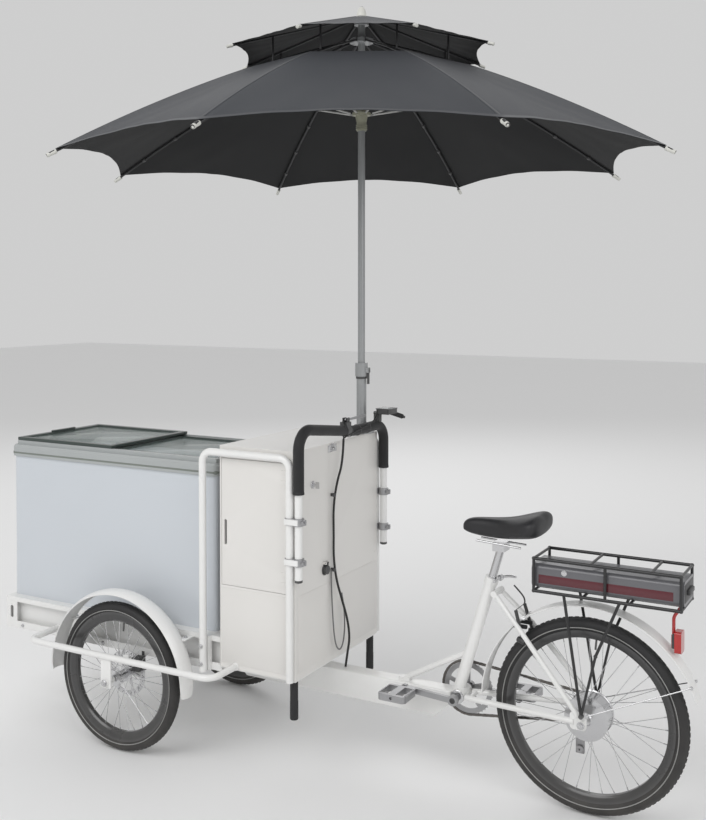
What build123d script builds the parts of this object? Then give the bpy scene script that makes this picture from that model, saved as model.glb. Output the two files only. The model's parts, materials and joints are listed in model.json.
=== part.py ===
from build123d import *
import os
from math import atan2, cos, degrees, hypot, pi, radians, sin, sqrt

# Front-load vending tricycle: a chest freezer and a cabinet on a steered two-wheeled
# front box, a bicycle rear half with a hub motor, and a double-canopy umbrella.
# Millimetres. The vehicle faces -X, -Y is the rider's left-hand side and +Z is up.
# Sizes are first given from the rear axle's foot on the floor; everything is moved to
# the middle of the overall footprint when it is written out.

# ---- rear half: wheel, frame, drive -------------------------------------------
REAR_WHEEL_R = 300.0
REAR_TYRE_W = 49.0
REAR_RIM_SEAT_R = 262.0
REAR_RIM_INNER_R = 238.0
MOTOR_R = 68.0
MOTOR_HALF = 40.0
AXLE_R = 6.0
RUNNING_GAP = 0.05          # radial clearance of every turning or sliding fit
FREE_GAP = 0.4              # clearance between pieces that pass each other
DROPOUT_Y = 76.0
DROPOUT_T = 6.0
BB_X, BB_Z = -420.0, 290.0
BB_SHELL_R = 22.0
BB_HALF = 36.0
SPINDLE_R = 8.0
CRANK_LENGTH = 170.0
CRANK_Y = 70.0
CRANK_ANGLE = 177.0         # near-side crank, from +X towards +Z
CHAIN_Y = 56.0
CHAIN_W = 8.0
CHAIN_T = 8.0
CHAINRING_R = 84.0
SPROCKET_R = 36.0
PEDAL_Y = 128.0
PEDAL_LENGTH = 96.0
PEDAL_WIDTH = 92.0
PEDAL_T = 22.0
PEDAL_AXLE_R = 5.0
BEAM_WIDTH = 60.0
BEAM_TOP = 300.0
BEAM_BOTTOM = 209.0
BEAM_WALL = 3.0
KINGPIN_X = -1220.0
KINGPIN_R = 16.0
KINGPIN_SLEEVE_R = 28.0
SEAT_TUBE_R = 19.0
SEAT_POST_R = 13.0
SEAT_TUBE_TOP = (-315.0, 682.0)
SEAT_POST_TOP_Z = 777.0
STAY_R = 8.0
SADDLE_LENGTH = 277.0
SADDLE_WIDTH = 200.0
REAR_FENDER_R = 340.0
FENDER_T = 2.5
REAR_FENDER_W = 60.0
BATTERY_X = (-162.0, 292.0)
BATTERY_Z = (688.0, 760.0)
BATTERY_HALF_W = 65.0
RACK_ROD_R = 5.0
RACK_POST_R = 4.6
RACK_CROSS_R = 4.2
RACK_TOP_Z = 779.0

# ---- front box: wheels, tray, freezer, cabinet ---------------------------------
FRONT_WHEEL_R = 257.0
FRONT_TYRE_W = 44.0
FRONT_RIM_SEAT_R = 222.0
FRONT_RIM_INNER_R = 191.0
FRONT_AXLE_X = -1551.0
FRONT_TRACK_HALF = 348.0
FRONT_HUB_R = 26.0
FRONT_HUB_HALF = 36.0
DISC_R = 80.0
TRAY_FRONT_X = -2185.0
TRAY_HALF_W = 270.0
TRAY_FLANGE = 25.0
TRAY_BOTTOM = 312.0
TRAY_TOP = 428.0
TRAY_SHEET = 3.0
CROSS_MEMBER_DEPTH = 40.0
CABINET_X = (-1176.0, -876.0)
CABINET_HALF_W = 284.0
CABINET_BOTTOM = 336.0
CABINET_TOP = 1077.0
CABINET_WALL = 3.0
DOOR_X = (-1164.0, -912.0)
DOOR_Z = (614.0, 1036.0)
DOOR_T = 18.0
DOOR_GAP = 1.5
HINGE_R = 1.4               # knuckles of the side door
HINGE_Z = (660.0, 990.0)
HINGE_LEAF = 16.0
LOCK_Y, LOCK_Z = -177.0, 954.0
LOCK_R = 9.0
SOCKET_Y, SOCKET_Z = -99.0, 656.0
SOCKET_R = 14.0
CAP_PIN_Z = 680.0
CAP_PIN_R = 1.6
FREEZER_X = (-2176.0, -1226.0)
FREEZER_HALF_W = 233.0
FREEZER_WALL = 50.0
FREEZER_FLOOR = 72.0
TRIM_OVERHANG = 6.0
TRIM_BOTTOM = 960.0
TRIM_TOP = 1003.0
RAIL_TOP = 1017.5
LID_SPLIT_X = -1700.0
LID_T = 11.5
LID_LAP = 20.0
RAIL_Y = (212.0, 222.0)
RAIL_INSET = 12.0
RAIL_END_T = 8.0
HOOP_R = 12.5
HOOP_TOP = 1055.0
HOOP_FRONT_X = -1234.0
HOOP_BEND = 36.0
BAR_X = -857.0
BAR_HALF_W = 294.0
BAR_TUBE_R = 12.5
GRIP_R = 18.0
BAR_LOW_Z = 664.0
GRIP_LOW_Z = 945.0
BAR_NEAR_Z = 1150.0
BAR_FAR_Z = 1105.0
CLAMP_Z = (856.0, 727.0)
LEVER_Y, LEVER_Z = 14.0, 1149.0
LEVER_PIN_R = 2.5
STOP_X, STOP_Y = -896.0, 260.0
STOP_R = 12.5
STOP_BOTTOM = 204.0
GUARD_R = 11.0
GUARD_Y = 420.0
GUARD_Z = 345.0
GUARD_FRONT_X = -1915.0
GUARD_REAR_X = -1110.0
FRONT_FENDER_R = 288.0
FRONT_FENDER_W = 68.0

# ---- umbrella -------------------------------------------------------------------
POLE_X, POLE_Y = -910.0, 222.0
POLE_R = 13.0
POLE_BASE_R = 18.0
POLE_BASE_TOP = 1327.0
MAST_BOTTOM = 1130.0
HUB_Z = 2487.0
VENT_HUB_Z = 2550.0
MAST_TOP = 2611.0
HUB_R = 42.0
HUB_T = 14.0
PIVOT_RHO = 34.0
PIN_R = 1.5
PLATE_T = 4.0
SLOT_GAP = 0.5
RIB_COUNT = 8
RIB_FIRST_ANGLE = 4.2
RIB_R = 4.5
RIB_SPANS = 6               # straight lengths that the rib's bow is made of
RIB_TIP_RHO = 1094.0
RIB_TIP_Z = 2031.0
RIB_RISE = 37.0             # how far the rib bows above its chord
CANOPY_T = 1.0
VENT_OPENING_RHO = 400.0
POST_RHO = 330.0
VENT_TIP_RHO = 495.0
VENT_TIP_Z = 2430.0
VENT_ROOT_RHO = 47.0
VENT_ROOT_Z = 2560.0
STRUT_RHO = 484.0
STRUT_DROP = 12.0
STRUT_R = 3.5
RUNNER_Z = 2225.0
RUNNER_R = 33.0
STRUT_SHORT = 9.0           # the strut stops this far short of the open pivot

PARTS = {}


# ---- small builders -------------------------------------------------------------
def block(x, y, z):
    """Box between two x, two y and two z values."""
    size = [abs(high - low) for low, high in (x, y, z)]
    middle = [(low + high) / 2 for low, high in (x, y, z)]
    return Pos(*middle) * Box(*size)


def rod(start, end, radius, bore=0.0):
    """Round bar, or tube, between two points."""
    start, end = Vector(*start), Vector(*end)
    run = end - start
    low = (Align.CENTER, Align.CENTER, Align.MIN)
    solid = Cylinder(radius, run.length, align=low)
    if bore:
        solid -= Cylinder(bore, run.length, align=low)
    return Plane(origin=start, z_dir=run) * solid


def rod_y(x, z, y_low, y_high, radius, bore=0.0):
    """Round bar along Y."""
    return rod((x, y_low, z), (x, y_high, z), radius, bore)


def bent_tube(points, radius, bends, bore=0.0):
    """Tube along straight runs joined by arcs."""
    path = FilletPolyline(*points, radius=bends)
    section = Circle(radius)
    solid = sweep(Plane(origin=path @ 0, z_dir=path % 0) * section, path=path)
    if bore:
        solid -= sweep(Plane(origin=path @ 0, z_dir=path % 0) * Circle(bore), path=path)
    return solid


def rounded(solid, radius, axis=Axis.Z):
    """Rounds the edges that run along an axis."""
    return fillet(solid.edges().filter_by(axis), radius)


def joined(solids):
    """Fuses a list of solids."""
    return solids[0].fuse(*solids[1:])


def both_sides(make):
    """Makes the same piece on the -Y and the +Y side."""
    return [make(side) for side in (-1, 1)]


def ring_sector(centre, radius, thickness, width, y_mid, start, end):
    """Curved strip round an axis along Y, from one angle to another."""
    arc_outer = CenterArc((0, 0), radius + thickness, start, end - start)
    arc_inner = CenterArc((0, 0), radius, start, end - start)
    outline = [
        arc_outer,
        Line(arc_outer @ 1, arc_inner @ 1),
        arc_inner,
        Line(arc_outer @ 0, arc_inner @ 0),
    ]
    strip = extrude(make_face(outline), width / 2, both=True)
    plane = Plane(origin=(centre[0], y_mid, centre[1]), x_dir=(1, 0, 0), z_dir=(0, -1, 0))
    return plane * strip


# ---- wheels -----------------------------------------------------------------------
def tyre(x, y, radius, width, seat):
    """Tyre seated on its rim."""
    ring = Torus(radius - width / 2, width / 2) - Cylinder(seat, width * 2)
    return Pos(x, y, radius) * Rot(90, 0, 0) * ring


def spoked_wheel(seat, inner, rim_half, hub_r, hub_half, flange_y, bore, spokes):
    """Rim, spokes and hub about the Z axis."""
    rim = Cylinder(seat, 2 * rim_half) - Cylinder(inner, 2 * rim_half)
    hub = Cylinder(hub_r, 2 * hub_half)
    pieces = [rim, hub]
    for index in range(spokes):
        angle = 2 * pi * index / spokes
        lean = radians(14) * (1 if index % 4 < 2 else -1)
        side = 1 if index % 2 else -1
        root = (hub_r - 3) * Vector(cos(angle + lean), sin(angle + lean), 0)
        tip = (inner + 3) * Vector(cos(angle), sin(angle), 0)
        start = (root.X, root.Y, side * flange_y)
        end = (tip.X, tip.Y, side * 2.0)
        pieces.append(rod(start, end, 1.2))
    return joined(pieces) - Cylinder(bore, 4 * hub_half)


def rear_wheel():
    """Rear tyre and the spoked wheel round the hub motor."""
    wheel = spoked_wheel(
        REAR_RIM_SEAT_R, REAR_RIM_INNER_R, 14, MOTOR_R, MOTOR_HALF, 30, AXLE_R + RUNNING_GAP, 36
    )
    PARTS["rear_wheel"] = Pos(0, 0, REAR_WHEEL_R) * Rot(90, 0, 0) * wheel
    PARTS["rear_tyre"] = tyre(0, 0, REAR_WHEEL_R, REAR_TYRE_W, REAR_RIM_SEAT_R)


def front_wheels():
    """Both front wheels, each with a brake disc on its inner side."""
    for side, name in ((-1, "left"), (1, "right")):
        wheel = spoked_wheel(
            FRONT_RIM_SEAT_R, FRONT_RIM_INNER_R, 14, FRONT_HUB_R, FRONT_HUB_HALF, 30,
            AXLE_R + RUNNING_GAP, 36,
        )
        disc = Pos(0, 0, side * (FRONT_HUB_HALF - 1.5)) * (
            Cylinder(DISC_R, 2.5) - Cylinder(DISC_R - 26, 2.5)
        )
        spider = [
            Pos(0, 0, side * (FRONT_HUB_HALF - 1.5)) * Rot(0, 0, 60 * arm)
            * Pos((DISC_R - 18) / 2 + 8, 0, 0) * Box(DISC_R - 26, 8, 2.5)
            for arm in range(6)
        ]
        wheel = joined([wheel, disc] + spider) - Cylinder(AXLE_R + RUNNING_GAP, 200)
        y = side * FRONT_TRACK_HALF
        place = Pos(FRONT_AXLE_X, y, FRONT_WHEEL_R) * Rot(90, 0, 0)
        PARTS["front_wheel_" + name] = place * wheel
        PARTS["front_tyre_" + name] = tyre(
            FRONT_AXLE_X, y, FRONT_WHEEL_R, FRONT_TYRE_W, FRONT_RIM_SEAT_R
        )


# ---- rear frame ---------------------------------------------------------------------
SEAT_DX = SEAT_TUBE_TOP[0] - (BB_X - 10.0)
SEAT_DZ = SEAT_TUBE_TOP[1] - BEAM_TOP
SEAT_LEN = hypot(SEAT_DX, SEAT_DZ)
SEAT_DIR = (SEAT_DX / SEAT_LEN, 0.0, SEAT_DZ / SEAT_LEN)


def on_seat_axis(along):
    """Point on the seat tube's axis, counted up from the tube's foot."""
    return (BB_X - 10.0 + SEAT_DIR[0] * along, 0.0, BEAM_TOP + SEAT_DIR[2] * along)


def frame_beam():
    """Box beam from the kingpin to the bottom bracket, with the kingpin on it."""
    rear_x = BB_X - BB_SHELL_R - 6.0
    outline = Polyline(
        (KINGPIN_X - 40, BEAM_BOTTOM + 25),
        (KINGPIN_X - 20, BEAM_BOTTOM),
        (rear_x - 60, BEAM_BOTTOM),
        (rear_x, BEAM_BOTTOM + 50),
        (rear_x, BEAM_TOP),
        (KINGPIN_X - 40, BEAM_TOP),
        close=True,
    )
    beam = Plane.XZ * extrude(make_face(outline), BEAM_WIDTH / 2, both=True)
    beam = rounded(beam, 6, Axis.X)
    hollow = block(
        (KINGPIN_X + 40, rear_x - 70),
        (-BEAM_WIDTH / 2 + BEAM_WALL, BEAM_WIDTH / 2 - BEAM_WALL),
        (BEAM_BOTTOM + BEAM_WALL, BEAM_TOP - BEAM_WALL),
    )
    washer_top = TRAY_BOTTOM - FREE_GAP
    washer = rod((KINGPIN_X, 0, BEAM_TOP - 1), (KINGPIN_X, 0, washer_top), KINGPIN_SLEEVE_R - 2)
    pin = rod((KINGPIN_X, 0, BEAM_TOP - 1), (KINGPIN_X, 0, TRAY_TOP - 8), KINGPIN_R)
    PARTS["frame_beam"] = joined([beam - hollow, washer, pin])


def seat_tube():
    """Seat tube on the bottom bracket shell, with its strut to the beam."""
    bore_r = SEAT_POST_R + RUNNING_GAP
    tube = rod(on_seat_axis(-4), on_seat_axis(SEAT_LEN), SEAT_TUBE_R)
    collar = rod(on_seat_axis(SEAT_LEN - 22), on_seat_axis(SEAT_LEN), SEAT_TUBE_R + 3)
    shell = rod_y(BB_X, BB_Z, -BB_HALF, BB_HALF, BB_SHELL_R)
    gusset = block((BB_X - BB_SHELL_R - 6, BB_X), (-22, 22), (BB_Z - 18, BEAM_TOP))
    strut = rod((BB_X - 200, 0, BEAM_TOP + 6), on_seat_axis(138), 9)
    foot = block((BB_X - 222, BB_X - 182), (-12, 12), (BEAM_TOP, BEAM_TOP + 10))
    body = joined([tube, collar, shell, gusset, strut, foot])
    body -= rod(on_seat_axis(SEAT_LEN - 260), on_seat_axis(SEAT_LEN + 1), bore_r)
    body -= rod_y(BB_X, BB_Z, -BB_HALF - 1, BB_HALF + 1, SPINDLE_R + RUNNING_GAP)
    over_beam = (BB_X - 260, BB_X - BB_SHELL_R - 6)
    body -= block(over_beam, (-60, 60), (BEAM_TOP - 40, BEAM_TOP))
    PARTS["seat_tube"] = body


def rear_triangle():
    """Stays, dropouts and the fixed rear axle with its nuts."""
    pieces = []
    for side in (-1, 1):
        y_out = side * DROPOUT_Y
        pieces.append(rod((BB_X + 26, side * 30, BB_Z), (-24, y_out, REAR_WHEEL_R + 4), STAY_R + 1))
        pieces.append(rod((-296, side * 27, 636), (-200, side * 52, 539), STAY_R))
        pieces.append(Pos(-200, side * 52, 539) * Sphere(STAY_R + 0.8))
        pieces.append(rod((-200, side * 52, 539), (-12, y_out, REAR_WHEEL_R + 22), STAY_R))
        plate = block(
            (-36, 14), (y_out - DROPOUT_T / 2, y_out + DROPOUT_T / 2),
            (REAR_WHEEL_R - 18, REAR_WHEEL_R + 34),
        )
        pieces.append(rounded(plate, 10, Axis.Y))
        pieces.append(rod_y(0, REAR_WHEEL_R, y_out + side * 2, y_out + side * 14, 11))
    pieces.append(rod((-297, -36, 637), (-297, 36, 637), STAY_R + 2))
    pieces.append(rod((BB_X + 40, -31, BB_Z), (BB_X + 40, 31, BB_Z), STAY_R - 1))
    pieces.append(rod_y(0, REAR_WHEEL_R, -DROPOUT_Y - 18, DROPOUT_Y + 18, AXLE_R))
    frame = joined(pieces)
    frame -= rod(on_seat_axis(-10), on_seat_axis(SEAT_LEN), SEAT_TUBE_R)
    frame -= rod_y(BB_X, BB_Z, -60, 60, BB_SHELL_R)
    PARTS["rear_triangle"] = frame


def rear_fender():
    """Rear mudguard with its stays to the axle ends."""
    guard = ring_sector(
        (0, REAR_WHEEL_R), REAR_FENDER_R, FENDER_T, REAR_FENDER_W, 0, 18, 178
    )
    pieces = [guard]
    for side in (-1, 1):
        y = side * REAR_FENDER_W / 2
        top = (REAR_FENDER_R * cos(radians(24)), y, REAR_WHEEL_R + REAR_FENDER_R * sin(radians(24)))
        pieces.append(rod(top, (18, side * (DROPOUT_Y + 6), REAR_WHEEL_R + 30), 2.5))
        pieces.append(rod((14, side * (DROPOUT_Y + 3), REAR_WHEEL_R + 28),
                          (24, side * (DROPOUT_Y + 9), REAR_WHEEL_R + 33), 4))
    bridge_z = REAR_WHEEL_R + sqrt(REAR_FENDER_R**2 - 200**2)
    pieces.append(block((-206, -192), (-43.9, 43.9), (bridge_z - 2, bridge_z + 3)))
    PARTS["rear_fender"] = joined(pieces)


def rear_rack():
    """Luggage rack: a deck that carries the battery under a rail hoop."""
    x0, x1 = BATTERY_X[0] + 10, BATTERY_X[1] - 6
    deck_z = BATTERY_Z[0] - 3 - RACK_ROD_R
    rail_y = BATTERY_HALF_W + 5 + RACK_ROD_R
    pieces = []
    for side in (-1, 1):
        y = side * rail_y
        pieces.append(rod((x0, y, deck_z), (x1, y, deck_z), RACK_ROD_R))
        pieces.append(rod((x0, y, RACK_TOP_Z), (x1, y, RACK_TOP_Z), RACK_ROD_R))
        for x in (x0, (x0 + x1) / 2, x1):
            pieces.append(rod((x, y, deck_z), (x, y, RACK_TOP_Z), RACK_POST_R))
        for x in (x0, x1):
            pieces.append(Pos(x, y, RACK_TOP_Z) * Sphere(RACK_ROD_R + 1))
            pieces.append(Pos(x, y, deck_z) * Sphere(RACK_ROD_R + 1))
        face_y = DROPOUT_Y + DROPOUT_T / 2
        foot = (0, side * (face_y + RACK_ROD_R + 1), REAR_WHEEL_R + 26)
        knee = (41, side * (DROPOUT_Y + 3), 511)
        eye_y = sorted((side * face_y, side * (face_y + 2 * RACK_ROD_R + 1)))
        pieces.append(rod_y(foot[0], foot[2], eye_y[0], eye_y[1], 7))
        pieces.append(rod((-58, y, deck_z), foot, RACK_POST_R))
        pieces.append(rod((111, y, deck_z), knee, RACK_POST_R))
        pieces.append(Pos(*knee) * Sphere(RACK_ROD_R + 1))
        pieces.append(rod(knee, foot, RACK_CROSS_R))
    for x in (x0, 0, 140, x1):
        pieces.append(rod((x, -rail_y, deck_z), (x, rail_y, deck_z), RACK_CROSS_R))
    for x in (x0, 20, 200, x1):
        pieces.append(rod((x, -rail_y, RACK_TOP_Z), (x, rail_y, RACK_TOP_Z), RACK_CROSS_R))
    pieces.append(block((x0, x1), (-40, 40), (deck_z + 3, BATTERY_Z[0] - FREE_GAP)))
    PARTS["rear_rack"] = joined(pieces)


def tail_light():
    """Round-cornered lens on a stem from the rack's deck."""
    lens = rounded(block((256, 276), (-22, 22), (538, 602)), 8, Axis.X)
    base = block((246, 258), (-14, 14), (552, 590))
    stem = bent_tube(((250, 0, 585), (250, 0, 640), (272, 0, 674)), 5, 30)
    PARTS["tail_light"] = joined([lens, base, stem])


def battery():
    """Slide-in battery pack with rounded long edges."""
    pack = block(BATTERY_X, (-BATTERY_HALF_W, BATTERY_HALF_W), BATTERY_Z)
    PARTS["battery"] = rounded(pack, 16, Axis.X)


def seat():
    """Seat post with its clamp, and the padded saddle on its rails."""
    top = on_seat_axis((SEAT_POST_TOP_Z - BEAM_TOP) / SEAT_DIR[2])
    post = rod(on_seat_axis(SEAT_LEN - 150), top, SEAT_POST_R, SEAT_POST_R - 2.5)
    x, z = top[0], top[2]
    clamp = block((x - 20, x + 20), (-24, 24), (z - 6, z + 22))
    rails = [
        rod((x - 75, side * 22, z + 22), (x + 75, side * 26, z + 14), 3.5) for side in (-1, 1)
    ]
    PARTS["seat_post"] = joined([post, clamp] + rails)
    nose_x = x - 127
    sections = []
    for share, half_w, low, high in (
        (0.0, 16, 44, 78), (0.10, 24, 36, 92), (0.35, 32, 30, 100), (0.55, 48, 34, 104),
        (0.75, 84, 44, 118), (0.92, 100, 50, 134), (1.0, 78, 66, 120),
    ):
        centre = (nose_x + share * SADDLE_LENGTH, 0, z + (low + high) / 2)
        plane = Plane(origin=centre, x_dir=(0, 1, 0), z_dir=(1, 0, 0))
        sections.append(plane * Ellipse(half_w, (high - low) / 2))
    PARTS["saddle"] = loft(sections)


def crank_end(sign):
    """Pedal end of a crank arm: sign 1 is the near-side arm."""
    angle = radians(CRANK_ANGLE + (0 if sign > 0 else 180))
    return BB_X + CRANK_LENGTH * cos(angle), BB_Z + CRANK_LENGTH * sin(angle)


def drive():
    """Crankset, pedals, rear sprocket and the chain between them."""
    pieces = [rod_y(BB_X, BB_Z, -CRANK_Y - 6, CRANK_Y + 6, SPINDLE_R)]
    for side in (-1, 1):
        x, z = crank_end(-side)
        y0, y1 = side * (CRANK_Y - 7), side * (CRANK_Y + 7)
        middle = ((BB_X + x) / 2, side * CRANK_Y, (BB_Z + z) / 2)
        bar = Box(CRANK_LENGTH, 13, 18)
        pieces.append(Pos(*middle) * Rot(0, -degrees(atan2(z - BB_Z, x - BB_X)), 0) * bar)
        pieces.append(rod_y(BB_X, BB_Z, min(y0, y1), max(y0, y1), 17))
        pieces.append(rod_y(x, z, min(y0, y1), max(y0, y1), 13))
        far = side * (PEDAL_Y + PEDAL_WIDTH / 2 - 8)
        pieces.append(rod_y(x, z, min(y0, far), max(y0, far), PEDAL_AXLE_R))
    ring = rod_y(BB_X, BB_Z, CHAIN_Y - 2, CHAIN_Y + 2, CHAINRING_R, CHAINRING_R - 16)
    pieces.append(ring)
    for arm in range(5):
        turn = Rot(0, 72 * arm, 0)
        spoke = turn * Pos(0, 0, (CHAINRING_R - 10) / 2) * Box(14, 4, CHAINRING_R - 10)
        pieces.append(Pos(BB_X, CHAIN_Y, BB_Z) * spoke)
    PARTS["crankset"] = joined(pieces)
    for side, name in ((-1, "left"), (1, "right")):
        x, z = crank_end(-side)
        low = side * PEDAL_Y - PEDAL_WIDTH / 2
        high = side * PEDAL_Y + PEDAL_WIDTH / 2
        frame = block(
            (x - PEDAL_LENGTH / 2, x + PEDAL_LENGTH / 2), (low, high),
            (z - PEDAL_T / 2, z + PEDAL_T / 2),
        )
        frame = rounded(frame, 12, Axis.Z)
        for dx in (-1, 1):
            mid = x + dx * PEDAL_LENGTH / 4 + dx * 3
            frame -= block((mid - 15, mid + 15), (low + 12, high - 12), (z - 20, z + 20))
        PARTS["pedal_" + name] = frame - rod_y(
            x, z, low - 1, high + 1, PEDAL_AXLE_R + RUNNING_GAP
        )
    sprocket = rod_y(0, REAR_WHEEL_R, CHAIN_Y - 4, CHAIN_Y + 4, SPROCKET_R)
    PARTS["rear_sprocket"] = sprocket - rod_y(
        0, REAR_WHEEL_R, CHAIN_Y - 9, CHAIN_Y + 9, AXLE_R + RUNNING_GAP
    )
    PARTS["chain"] = chain()


def chain_loop(extra):
    """Solid outline round the chainring and the sprocket, grown by extra."""
    run = hypot(BB_X, BB_Z - REAR_WHEEL_R)
    r0, r1 = CHAINRING_R + extra, SPROCKET_R + extra
    lean = (r0 - r1) / run
    cosine = sqrt(1 - lean * lean)
    points = [
        (r0 * lean, r0 * cosine), (run + r1 * lean, r1 * cosine),
        (run + r1 * lean, -r1 * cosine), (r0 * lean, -r0 * cosine),
    ]
    web = make_face(Polyline(*points, close=True))
    face = web + Circle(r0) + Pos(run, 0) * Circle(r1)
    loop = extrude(face, CHAIN_W / 2, both=True)
    tilt = degrees(atan2(REAR_WHEEL_R - BB_Z, -BB_X))
    place = Plane(origin=(BB_X, CHAIN_Y, BB_Z), x_dir=(1, 0, 0), z_dir=(0, -1, 0))
    return place * Rot(0, 0, tilt) * loop


def chain():
    """Chain as one band, with the derailleur cage that guides its lower run."""
    band = chain_loop(CHAIN_T) - chain_loop(FREE_GAP)
    cage_y = (CHAIN_Y + CHAIN_W / 2, CHAIN_Y + CHAIN_W / 2 + 3)
    cage = [
        rounded(block((-60, -32), cage_y, (150, REAR_WHEEL_R - 46)), 12, Axis.Y),
        rod_y(-46, 165, CHAIN_Y - 3, cage_y[0] + 1, 12),
        rod_y(-46, 226, CHAIN_Y - 3, cage_y[0] + 1, 12),
        rod((-46, cage_y[1] - 1.5, 240), (-22, cage_y[1] - 1.5, REAR_WHEEL_R - 12), 1.4),
        rod_y(-22, REAR_WHEEL_R - 12, cage_y[0], DROPOUT_Y - DROPOUT_T / 2, 5),
    ]
    return joined([band] + cage)


# ---- front box ----------------------------------------------------------------------
def tray():
    """Chassis tray: outward channels, floor sheet, cross members and kingpin sleeve."""
    x = (TRAY_FRONT_X, CABINET_X[0])
    inner = TRAY_HALF_W - TRAY_FLANGE
    pieces = [block(x, (-TRAY_HALF_W, TRAY_HALF_W), (TRAY_TOP - TRAY_SHEET, TRAY_TOP))]
    for side in (-1, 1):
        web = sorted((side * inner, side * (inner - TRAY_SHEET)))
        flange = sorted((side * (inner - TRAY_SHEET), side * TRAY_HALF_W))
        lip = sorted((side * (TRAY_HALF_W - TRAY_SHEET), side * TRAY_HALF_W))
        pieces.append(block(x, web, (TRAY_BOTTOM, TRAY_TOP)))
        pieces.append(block(x, flange, (TRAY_BOTTOM, TRAY_BOTTOM + TRAY_SHEET)))
        pieces.append(block(x, lip, (TRAY_BOTTOM, TRAY_BOTTOM + 26)))
        pieces.append(block(x, lip, (TRAY_TOP - 18, TRAY_TOP)))
        front = block((x[0], x[0] + 55), lip, (TRAY_BOTTOM, TRAY_TOP))
        slot = block((x[0] + 20, x[0] + 36), sorted((side * 200, side * 300)),
                     (TRAY_BOTTOM + 36, TRAY_TOP - 34))
        pieces.append(front - rounded(slot, 7.5, Axis.Y))
        lug = sorted((side * (TRAY_HALF_W - 1), side * (CABINET_HALF_W + FREE_GAP)))
        pieces.append(block((HOOP_FRONT_X - 16, HOOP_FRONT_X + 16), lug, (TRAY_BOTTOM, TRAY_TOP)))
        bearer = sorted((side * (TRAY_HALF_W - 12), side * (TRAY_HALF_W - 2)))
        bearer_x = (FRONT_AXLE_X - 34, FRONT_AXLE_X + 34)
        pieces.append(block(bearer_x, bearer, (FRONT_WHEEL_R - 26, TRAY_BOTTOM + 2)))
    for x_low, x_high in (
        (TRAY_FRONT_X, TRAY_FRONT_X + 4), (FRONT_AXLE_X - 25, FRONT_AXLE_X + 25),
        (KINGPIN_X - 40, KINGPIN_X + 40), (CABINET_X[0] - 4, CABINET_X[0]),
    ):
        pieces.append(block((x_low, x_high), (-inner, inner), (TRAY_TOP - CROSS_MEMBER_DEPTH, TRAY_TOP)))
    front_x = (TRAY_FRONT_X, TRAY_FRONT_X + 4)
    pieces.append(block(front_x, (-TRAY_HALF_W, TRAY_HALF_W), (TRAY_BOTTOM, TRAY_TOP)))
    pieces.append(rod((KINGPIN_X, 0, TRAY_BOTTOM), (KINGPIN_X, 0, TRAY_TOP), KINGPIN_SLEEVE_R))
    body = joined(pieces)
    sleeve_top = TRAY_TOP - 6
    body -= rod((KINGPIN_X, 0, TRAY_BOTTOM - 1), (KINGPIN_X, 0, sleeve_top), KINGPIN_R + RUNNING_GAP)
    stops = [
        rod((STOP_X, side * STOP_Y, STOP_BOTTOM), (STOP_X, side * STOP_Y, CABINET_BOTTOM), STOP_R)
        for side in (-1, 1)
    ]
    base = block((CABINET_X[0] - 6, CABINET_X[1] - 4), (-278, 278), (CABINET_BOTTOM - 6, CABINET_BOTTOM))
    PARTS["tray"] = joined([body, base] + stops)


def side_hoops():
    """Inverted U of tube on each side of the cabinet."""
    y = CABINET_HALF_W + HOOP_R + FREE_GAP
    rear_x = CABINET_X[1] - HOOP_R - 1

    def hoop(side):
        points = (
            (HOOP_FRONT_X, side * y, TRAY_BOTTOM), (HOOP_FRONT_X, side * y, HOOP_TOP),
            (rear_x, side * y, HOOP_TOP), (rear_x, side * y, CABINET_BOTTOM),
        )
        return bent_tube(points, HOOP_R, HOOP_BEND, HOOP_R - 2)

    PARTS["side_hoops"] = Compound(children=both_sides(hoop))


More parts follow.
